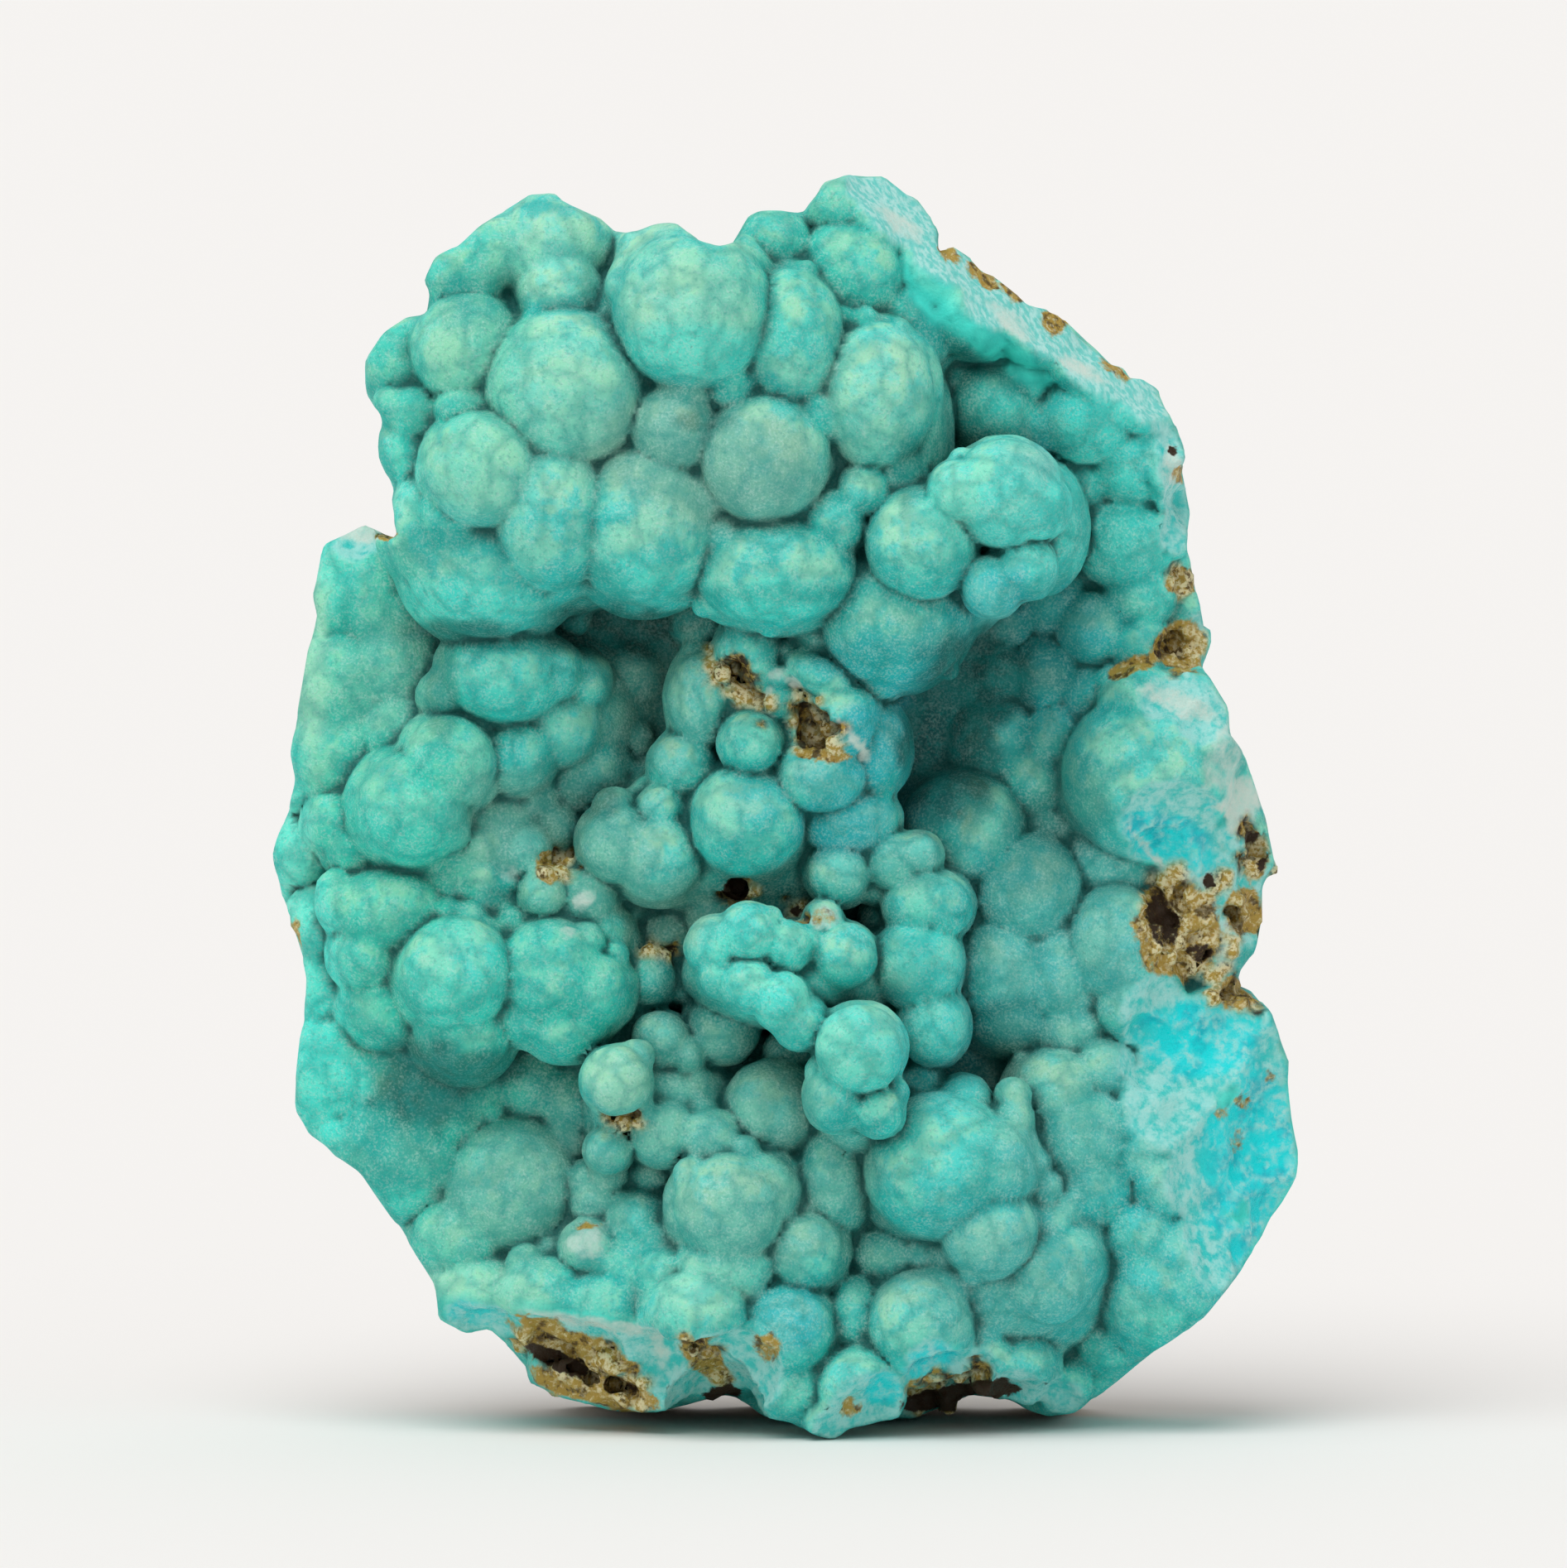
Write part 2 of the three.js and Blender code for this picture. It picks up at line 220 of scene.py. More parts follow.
@dataclass
class Stone:
    """The stone as signed distances on a grid of points: negative inside, positive outside."""

    low: Row = (-55.0, -32.0, -2.0)
    high: Row = (55.0, 23.0, 125.0)
    step: float = 0.5
    axes: list[Array] = field(init=False)
    values: Array = field(init=False)
    owner: Array = field(init=False)

    def __post_init__(self) -> None:
        """Lays out the grid with nothing in it."""
        self.axes = [np.arange(low, high, self.step) for low, high in zip(self.low, self.high)]
        shape = tuple(len(axis) for axis in self.axes)
        self.values = np.full(shape, FAR_OUT, np.float32)
        self.owner = np.zeros(shape, np.int16)

    def window(self, middle: Array, reach: Array) -> tuple[tuple[slice, ...], list[Array]]:
        """The part of the grid within a reach of a place.

        Args:
            middle: the window's middle.
            reach: half its size along each axis.

        Returns:
            The slices of that part, and its coordinates as arrays that broadcast to its shape.
        """
        spans = []
        for axis, centre, half in zip(self.axes, middle, reach):
            first, last = np.searchsorted(axis, (centre - half, centre + half))
            spans.append(slice(int(first), int(last)))
        parts = [axis[span] for axis, span in zip(self.axes, spans)]
        return tuple(spans), np.meshgrid(*parts, indexing="ij", sparse=True)

    def ball_distance(self, lump: Lump, grids: list[Array]) -> Array:
        """About how far places lie outside an ellipsoid.

        With k0 the length of the offset divided by the half sizes, and k1 the length of the offset divided
        by their squares, it is k0 x (k0 - 1) / k1.
        """
        half = lump.half_sizes()
        dx, dy, dz = (grid - at for grid, at in zip(grids, lump.middle()))
        along, rise = turned(dx, dz, -lump.turn)
        k0 = np.sqrt((along / half[0]) ** 2 + (dy / half[1]) ** 2 + (rise / half[2]) ** 2)
        k1 = np.sqrt((along / half[0] ** 2) ** 2 + (dy / half[1] ** 2) ** 2 + (rise / half[2] ** 2) ** 2)
        return k0 * (k0 - 1) / np.maximum(k1, 1e-6)

    def join(self, lump: Lump, softness: float, owner: int = 0, margin: float = 2.0) -> None:
        """Joins a lump to the stone: the smaller distance, less h^2 k / 4 where they are near, as a fillet.

        Args:
            lump: the ellipsoid.
            softness: k, over which two surfaces blend.
            owner: the number that marks the lump's own part of the grid.
            margin: how far round the lump distances are worked out.
        """
        spans, grids = self.window(lump.middle(), np.full(3, lump.half_sizes().max() + margin))
        here = self.values[spans]
        other = self.ball_distance(lump, grids)
        near = np.maximum(softness - np.abs(here - other), 0) / softness
        self.owner[spans] = np.where(other < here, owner, self.owner[spans])
        self.values[spans] = np.minimum(here, other) - near * near * softness / 4

    def cut(self, lump: Lump, rough: float, cell: float, seed: int, owner: int) -> None:
        """Takes an ellipsoid with a ragged wall out: the larger of distance and -(ball's distance + noise).

        Args:
            lump: the ellipsoid.
            rough: how far the wall wanders.
            cell: the size of its wandering.
            seed: chooses the wandering.
            owner: the number that marks the wall.
        """
        spans, grids = self.window(lump.middle(), lump.half_sizes().max() + np.full(3, 2.0 + rough))
        places = np.stack(np.broadcast_arrays(*grids), axis=-1)
        ragged = lattice_noise(places, cell, seed) + 0.5 * lattice_noise(places, cell / 2.3, seed + 1)
        hollow = self.ball_distance(lump, grids) + rough * ragged
        self.owner[spans] = np.where(-hollow > self.values[spans], owner, self.owner[spans])
        self.values[spans] = np.maximum(self.values[spans], -hollow)

    def shave(self, plane: Plane, span: Row, rough: float, owner: int) -> None:
        """Takes away what lies beyond a ragged plane between two places across."""
        first, last = np.searchsorted(self.axes[0], span)
        grids = np.meshgrid(self.axes[0][first:last], self.axes[1], self.axes[2], indexing="ij")
        ragged = lattice_noise(np.stack(grids, axis=-1), 4.0, owner) * rough
        ends = np.maximum(span[0] - grids[0], grids[0] - span[1]) + 2
        beyond = np.minimum(plane.distance(grids) + ragged, -ends)
        here = self.values[first:last]
        self.owner[first:last] = np.where(beyond > here, owner, self.owner[first:last])
        self.values[first:last] = np.maximum(here, beyond)

    def front(self) -> Array:
        """The depth of the foremost stone at each across and height; not a number where there is none."""
        inside = self.values < 0
        return np.where(inside.any(axis=1), self.axes[1][np.argmax(inside, axis=1)], np.nan)

    def front_at(self, front: Array, across: float, up: float) -> float:
        """A value of the front at a place as seen, by three rounds of height from the depth found there."""
        depth = -10.0
        for _ in range(3):
            place = (across, 0.0, height_of(up, 0.0 if math.isnan(depth) else depth))
            i, _, k = (int(round((at - low) / self.step)) for at, low in zip(place, self.low))
            depth = float(front[min(max(i, 0), front.shape[0] - 1), min(max(k, 0), front.shape[1] - 1)])
        return depth

    def inside_share(self, reach: float) -> Array:
        """How much of a cube of this half size round each grid point is stone, by three running sums."""
        share = (self.values < 0).astype(np.float32)
        width = max(1, round(reach / self.step))
        for axis in range(3):
            padded = np.concatenate([np.repeat(np.take(share, [0], axis), width + 1, axis), share,
                                     np.repeat(np.take(share, [-1], axis), width, axis)], axis)
            total = np.cumsum(padded, axis=axis, dtype=np.float64)
            count = share.shape[axis]
            upper = np.take(total, np.arange(2 * width + 1, 2 * width + 1 + count), axis)
            lower = np.take(total, np.arange(count), axis)
            share = ((upper - lower) / (2 * width + 1)).astype(np.float32)
        return share

    def sample(self, volume: Array, points: Array) -> Array:
        """Values of a grid at places between its points, blended from the eight corners round each."""
        scaled = (points - np.array(self.low)) / self.step
        top = np.array(volume.shape) - 2
        corner = np.clip(np.floor(scaled).astype(np.int64), 0, top)
        part = np.clip(scaled - corner, 0, 1)
        total = np.zeros(len(points))
        for offset in itertools.product((0, 1), repeat=3):
            weight = np.prod(np.where(offset, part, 1 - part), axis=1)
            total += weight * volume[tuple((corner + np.array(offset)).T)]
        return total

    def slope(self, points: Array) -> Array:
        """The way the distance grows at places: half differences over one step on each side."""
        rises = []
        for way in np.eye(3) * self.step:
            rises.append(self.sample(self.values, points + way) - self.sample(self.values, points - way))
        return np.stack(rises, axis=1) / (2 * self.step)

    def settle(self, points: Array, rounds: int = 2) -> Array:
        """Moves places onto the surface: each round takes away distance x slope / slope squared.

        A round moves a place by half a step at most.
        """
        for _ in range(rounds):
            slope = self.slope(points)
            length = np.maximum(np.sum(slope * slope, axis=1, keepdims=True), 0.05)
            move = self.sample(self.values, points)[:, None] * slope / length
            size = np.linalg.norm(move, axis=1, keepdims=True)
            points = points - move * np.minimum(1, 0.5 * self.step / np.maximum(size, 1e-9))
        return points

    def skin(self) -> tuple[Array, Array]:
        """The surface between inside and outside, with one point in each grid cube that it passes through.

        A cube's point is the mean of the places where the distance is zero on its twelve edges, and four
        cubes round each grid edge that crosses the surface are joined by one face.

        Returns:
            The points, and the faces as four point numbers each, turned outwards.
        """
        inside = self.values < 0
        corners = list(itertools.product((0, 1), repeat=3))
        cubes = tuple(size - 1 for size in inside.shape)
        filled = np.zeros(cubes, np.int8)
        for corner in corners:
            filled += inside[tuple(slice(start, start + size) for start, size in zip(corner, cubes))]
        crossed = (filled > 0) & (filled < 8)
        number = np.full(cubes, -1, np.int64)
        cells = np.argwhere(crossed)
        number[crossed] = np.arange(len(cells))
        total = np.zeros((len(cells), 3))
        count = np.zeros((len(cells), 1))
        for corner, axis in itertools.product(corners, range(3)):
            if corner[axis]:
                continue
            way = np.eye(3, dtype=np.int64)[axis]
            start = cells + np.array(corner)
            first = self.values[tuple(start.T)]
            last = self.values[tuple((start + way).T)]
            hit = ((first < 0) != (last < 0))[:, None]
            share = first / np.where(first == last, 1, first - last)
            total += np.where(hit, start + share[:, None] * way, 0)
            count += hit
        points = np.array(self.low) + self.step * total / count
        return points, np.concatenate([self.faces_along(axis, inside, number) for axis in range(3)])

    def faces_along(self, axis: int, inside: Array, number: Array) -> Array:
        """The faces across the grid edges that run along one axis, each turned from inside to outside."""
        one, two = [other for other in range(3) if other != axis]
        if axis == 1:
            one, two = two, one
        first = np.moveaxis(inside, (axis, one, two), (0, 1, 2))
        cube = np.moveaxis(number, (axis, one, two), (0, 1, 2))
        start, end = first[:-1, 1:-1, 1:-1], first[1:, 1:-1, 1:-1]
        places = np.argwhere(start != end)
        outward = start[tuple(places.T)]
        i, j, k = places.T
        ring = np.stack([cube[i, j + a, k + b] for a, b in ((0, 0), (1, 0), (1, 1), (0, 1))], axis=1)
        return np.where(outward[:, None], ring, ring[:, ::-1])


def biggest_shell(points: Array, faces: Array) -> tuple[Array, Array]:
    """Keeps the largest connected surface, without loose crumbs and bubbles shut in the stone.

    Every point takes the lowest number among its neighbours, and then that point's own number, until none
    changes, so that each connected surface shares one number.

    Args:
        points: the places.
        faces: four point numbers each.

    Returns:
        The points and faces of the surface with the most points.
    """
    label = np.arange(len(points))
    ends = np.concatenate([faces[:, [0, 1]], faces[:, [1, 2]], faces[:, [2, 3]], faces[:, [3, 0]]])
    while True:
        lowest = np.minimum(label[ends[:, 0]], label[ends[:, 1]])
        fresh = label.copy()
        np.minimum.at(fresh, ends[:, 0], lowest)
        np.minimum.at(fresh, ends[:, 1], lowest)
        np.minimum.at(fresh, label[ends[:, 0]], lowest)
        np.minimum.at(fresh, label[ends[:, 1]], lowest)
        fresh = fresh[fresh]
        if np.array_equal(fresh, label):
            break
        label = fresh
    kept = label == np.bincount(label).argmax()
    renumber = np.cumsum(kept) - 1
    return points[kept], renumber[faces[kept[faces[:, 0]]]]


@dataclass(frozen=True)
class BrokenSlab:
    """The body that carries the crust: an outline with depth, whose back and rim are broken."""

    # Outline as seen from the front, clockwise from the left shoulder: across and up.
    outline: tuple[Row, ...] = (
        (-37.3, 85.3), (-37.8, 88.5), (-37.7, 90), (-38.3, 91.5), (-39, 93), (-39.2, 95.5), (-39, 97),
        (-40.4, 99.4), (-40.4, 102.5), (-38.5, 105.3), (-36.5, 106.5), (-34.5, 107.2), (-34.2, 109),
        (-34.8, 110.2), (-33.7, 112.5), (-31.5, 113.4), (-29.3, 115.5), (-27.5, 116.5), (-25.8, 117.6),
        (-24.8, 118.4), (-22.2, 118.5), (-21.3, 117.7), (-18, 116.2), (-16.5, 115), (-14.2, 114.9),
        (-12.5, 115.5), (-10.5, 115.9), (-8.3, 114), (-6.3, 113.3), (-5, 113.8), (-3.5, 116.5),
        (-2.6, 116.9), (0.5, 116.9), (1.8, 116.7), (3.2, 118.5), (3.8, 119.6), (6.4, 120.5),
        (9.5, 120.4), (11.5, 118.8), (12.8, 118.2), (14.5, 115.9), (15.1, 114.7), (14.8, 113.8),
        (15, 112.8), (16.2, 113.6), (17.8, 112.3), (20.5, 110.4), (23.5, 107.8), (25.4, 107.6),
        (28.5, 105.2), (31.5, 102.4), (33, 101.9), (33.4, 100.9), (34.3, 101), (36.2, 99.8),
        (36.3, 98.7), (38, 96), (38.7, 93.8), (38.4, 92.5), (39.2, 88), (38.9, 84.8), (39.7, 81),
        (40.6, 77), (41.3, 76.8), (41.3, 75.2), (40.4, 72.7), (42.7, 69), (42.9, 66.5), (44.5, 64.5),
        (45.5, 61.5), (46.5, 58.5), (47.4, 54), (46.3, 52), (46.2, 48.5), (45.5, 45.5), (44.3, 44),
        (43.8, 42.3), (45, 41.8), (47, 39.5), (48.8, 35), (48.5, 33), (49, 29), (49.6, 26),
        (49.3, 23.5), (46, 18), (43.5, 14), (40.5, 10.3), (38, 8.5), (35, 6.5), (32, 4), (28, 0.8),
        (25.5, 0.5), (23.7, 1), (21.5, 2.2), (18, 2.5), (14.6, 1.1), (12.5, 0.3), (9.5, 0.3),
        (6.3, -0.6), (4.6, -1.8), (2.7, -1.1), (0.3, 0.1), (-2, 0.5), (-3.8, 1.8), (-5.3, 2.5),
        (-9.1, 1.7), (-12, 1), (-16, 0.9), (-19, 1.5), (-22, 2.4), (-24.8, 3.8), (-25.2, 5.5),
        (-27, 7.5), (-28.5, 9), (-30.8, 8.5), (-33.5, 10), (-33.7, 13), (-37, 18.5), (-39.5, 22),
        (-41, 24.3), (-46, 27.8), (-47.2, 30), (-47.2, 33), (-46.3, 40), (-46, 43), (-47.5, 48),
        (-48.7, 51), (-49.4, 55), (-48, 59.5), (-47.3, 62), (-47.7, 64.5), (-46.8, 70), (-45.7, 76),
        (-45, 78), (-45.6, 80), (-44.5, 84.8), (-41.5, 86.3), (-40.6, 86.8), (-38.5, 85.7),
    )
    # How the outline shrinks from the front plane to the back plane, as depths and scales.
    depths: Row = (-5.0, 1.0, 11.0, 19.5)
    scales: Row = (1.0, 1.01, 0.95, 0.76)
    # The point low on the middle line that it shrinks towards: across and height.
    towards: Row = (1.0, 14.0)
    back_breaks: tuple[Plane, ...] = (
        Plane((-28, 12, 70), (-0.62, 0.75, 0.2)),
        Plane((30, 12, 66), (0.6, 0.78, 0.12)),
        Plane((4, 13, 96), (0.1, 0.72, 0.68)),
        Plane((-12, 18.5, 40), (-0.18, 0.98, -0.08)),
        Plane((22, 17, 24), (0.42, 0.9, -0.1)),
        Plane((-24, 15, 22), (-0.5, 0.85, -0.18)),
        Plane((6, 18, 62), (0.12, 0.97, 0.2)),
    )
    # The back's ridges and furrows, from the size of noise without its sign: height, cell and seed.
    back_relief: tuple[Row, ...] = ((3.2, 13.0, 21), (1.8, 6.0, 22), (0.9, 2.8, 23), (0.4, 1.4, 24))
    # Feet that reach the floor: across, depth, half width, half depth and half height.
    feet: tuple[Row, ...] = (
        (5, -17.2, 3.4, 3.8, 3.4), (-15.5, 10.5, 8, 7, 4), (25, 8.5, 7, 7, 4), (5, 12, 14, 6, 3.6),
    )
    # How high a foot's middle stands, as a share of its half height.
    foot_middle: float = 0.4
    # How far the slab reaches past its outline before the crust is trimmed back to it.
    swell: float = 0.4
    # How far the rim wanders, and how much of the back's relief its flat breaks have.
    rim_relief: float = 0.25
    break_relief: float = 0.6

    def outline_distance(self, across: Array, up: Array) -> Array:
        """Signed distance from the outline as it is seen, negative inside.

        It is the distance to the nearest of all its edges, where an edge's nearest point is its start + t x
        edge, with t the clamped dot product of offset and edge over the edge's squared length. A place is
        inside where a ray to the right crosses the outline an odd number of times.
        """
        corners = np.array(self.outline)
        best = np.full(np.broadcast(across, up).shape, np.inf)
        odd = np.zeros(best.shape, bool)
        for start, end in zip(corners, np.roll(corners, -1, axis=0)):
            edge = end - start
            dx, dz = across - start[0], up - start[1]
            share = np.clip((dx * edge[0] + dz * edge[1]) / (edge @ edge), 0, 1)
            best = np.minimum(best, np.hypot(dx - share * edge[0], dz - share * edge[1]))
            spans = (start[1] > up) != (end[1] > up)
            crossing = start[0] + (up - start[1]) * edge[0] / (edge[1] or 1e-9)
            odd ^= spans & (across < crossing)
        return np.where(odd, -best, best)

    def build(self, stone: Stone) -> None:
        """Fills the grid with the slab: the outline's distance, shrunk at each depth by its scale there."""
        across, depth, height = stone.axes
        grid = self.outline_distance(across[:, None], height[None, :])
        places = self.places(across, height)
        rim = lattice_noise(places, 5.0, seed=11) + 0.5 * lattice_noise(places, 2.2, seed=12)
        for index, y in enumerate(depth):
            scale = np.interp(y, self.depths, self.scales)
            u = (self.towards[0] + (across - self.towards[0]) / scale - across[0]) / stone.step
            seen = seen_height(self.towards[1] + (height - self.towards[1]) / scale, 0.0)
            v = (seen - height[0]) / stone.step
            sunk = max(self.depths[0] - y, y - self.depths[-1])
            layer = self.blend(grid, u, v) * scale + self.rim_relief * rim - self.swell
            stone.values[:, index, :] = np.maximum(layer, sunk)
        grids = np.meshgrid(*stone.axes, indexing="ij", sparse=True)
        waves = [size * np.abs(lattice_noise(places, cell, seed)) for size, cell, seed in self.back_relief]
        relief = sum(waves)[:, None, :]
        stone.values[:] = np.maximum(stone.values, grids[1] - self.depths[-1] - relief)
        for plane in self.back_breaks:
            stone.values[:] = np.maximum(stone.values, plane.distance(grids) + self.break_relief * relief)
        for foot in self.feet:
            self.join_foot(stone, foot)

    def trim(self, stone: Stone, softness: float) -> None:
        """Takes away what would be seen outside the outline: the larger of the two distances.

        Where they are nearer than the softness k, h^2 k / 4 is added, which rounds the rim off.
        """
        across, depth, height = stone.axes
        grid = self.outline_distance(across[:, None], height[None, :])
        u = (across - across[0]) / stone.step
        for index, y in enumerate(depth):
            outside = self.blend(grid, u, (seen_height(height, y) - height[0]) / stone.step)
            here = stone.values[:, index, :]
            near = np.maximum(softness - np.abs(here - outside), 0) / softness
            stone.values[:, index, :] = np.maximum(here, outside) + near * near * softness / 4

    @staticmethod
    def places(across: Array, height: Array) -> Array:
        """Points of the plane at depth 0, for noise over the back and the rim."""
        x, z = np.meshgrid(across, height, indexing="ij")
        return np.stack([x, np.zeros_like(x), z], axis=-1)

    @staticmethod
    def blend(grid: Array, u: Array, v: Array) -> Array:
        """Values of a flat grid at fractional rows u and columns v, blended from the four corners."""
        u = np.clip(u, 0, grid.shape[0] - 1.001)[:, None]
        v = np.clip(v, 0, grid.shape[1] - 1.001)[None, :]
        i, j = u.astype(int), v.astype(int)
        s, t = u - i, v - j
        near = grid[i, j] * (1 - t) + grid[i, j + 1] * t
        far = grid[i + 1, j] * (1 - t) + grid[i + 1, j + 1] * t
        return near * (1 - s) + far * s

    def join_foot(self, stone: Stone, foot: Row) -> None:
        """Joins one foot, an ellipsoid: (offset divided by the half sizes - 1) x the least half size."""
        across, depth, *sizes = foot
        half = np.array(sizes, float)
        middle = (across, depth, half[2] * self.foot_middle)
        spans, grids = stone.window(middle, half + 2)
        far = np.sqrt(sum(((grid - at) / size) ** 2 for grid, at, size in zip(grids, middle, half)))
        stone.values[spans] = np.minimum(stone.values[spans], (far - 1) * half.min())


@dataclass(frozen=True)
class Cluster:
    """Lumps that grew together, and how closely they are packed."""

    rows: tuple[Row, ...]
    # How much wider a lump is than what shows of it, and its half depth as a share of that.
    press: float = 1.2
    flat: float = 0.85
    # The skirt under each lump, which fills the valleys: how much wider it is than what shows, and how far
    # its crown lies behind the lump's as a share of the lump's half depth.
    skirt_width: float = 1.4
    skirt_sink: float = 0.45

    def lumps(self) -> list[Lump]:
        """The lumps, swollen sideways by the press."""
        return [self.swollen(Lump(*row), self.press, 0.0, self.flat) for row in self.rows]

    def skirts(self) -> list[Lump]:
        """The broader, lower ellipsoids that the lumps sit on."""
        return [self.swollen(Lump(*row), self.skirt_width, self.skirt_sink, self.flat) for row in self.rows]

    @staticmethod
    def swollen(lump: Lump, grow: float, sink: float, flat: float) -> Lump:
        """A lump grown sideways, flattened towards its crown and sunk by a share of its half depth."""
        wide, deep, tall = lump.half_sizes()
        forward = lump.forward - sink * deep
        return Lump(lump.across, lump.up, forward, wide * grow, tall * grow, lump.turn, deep * grow * flat)


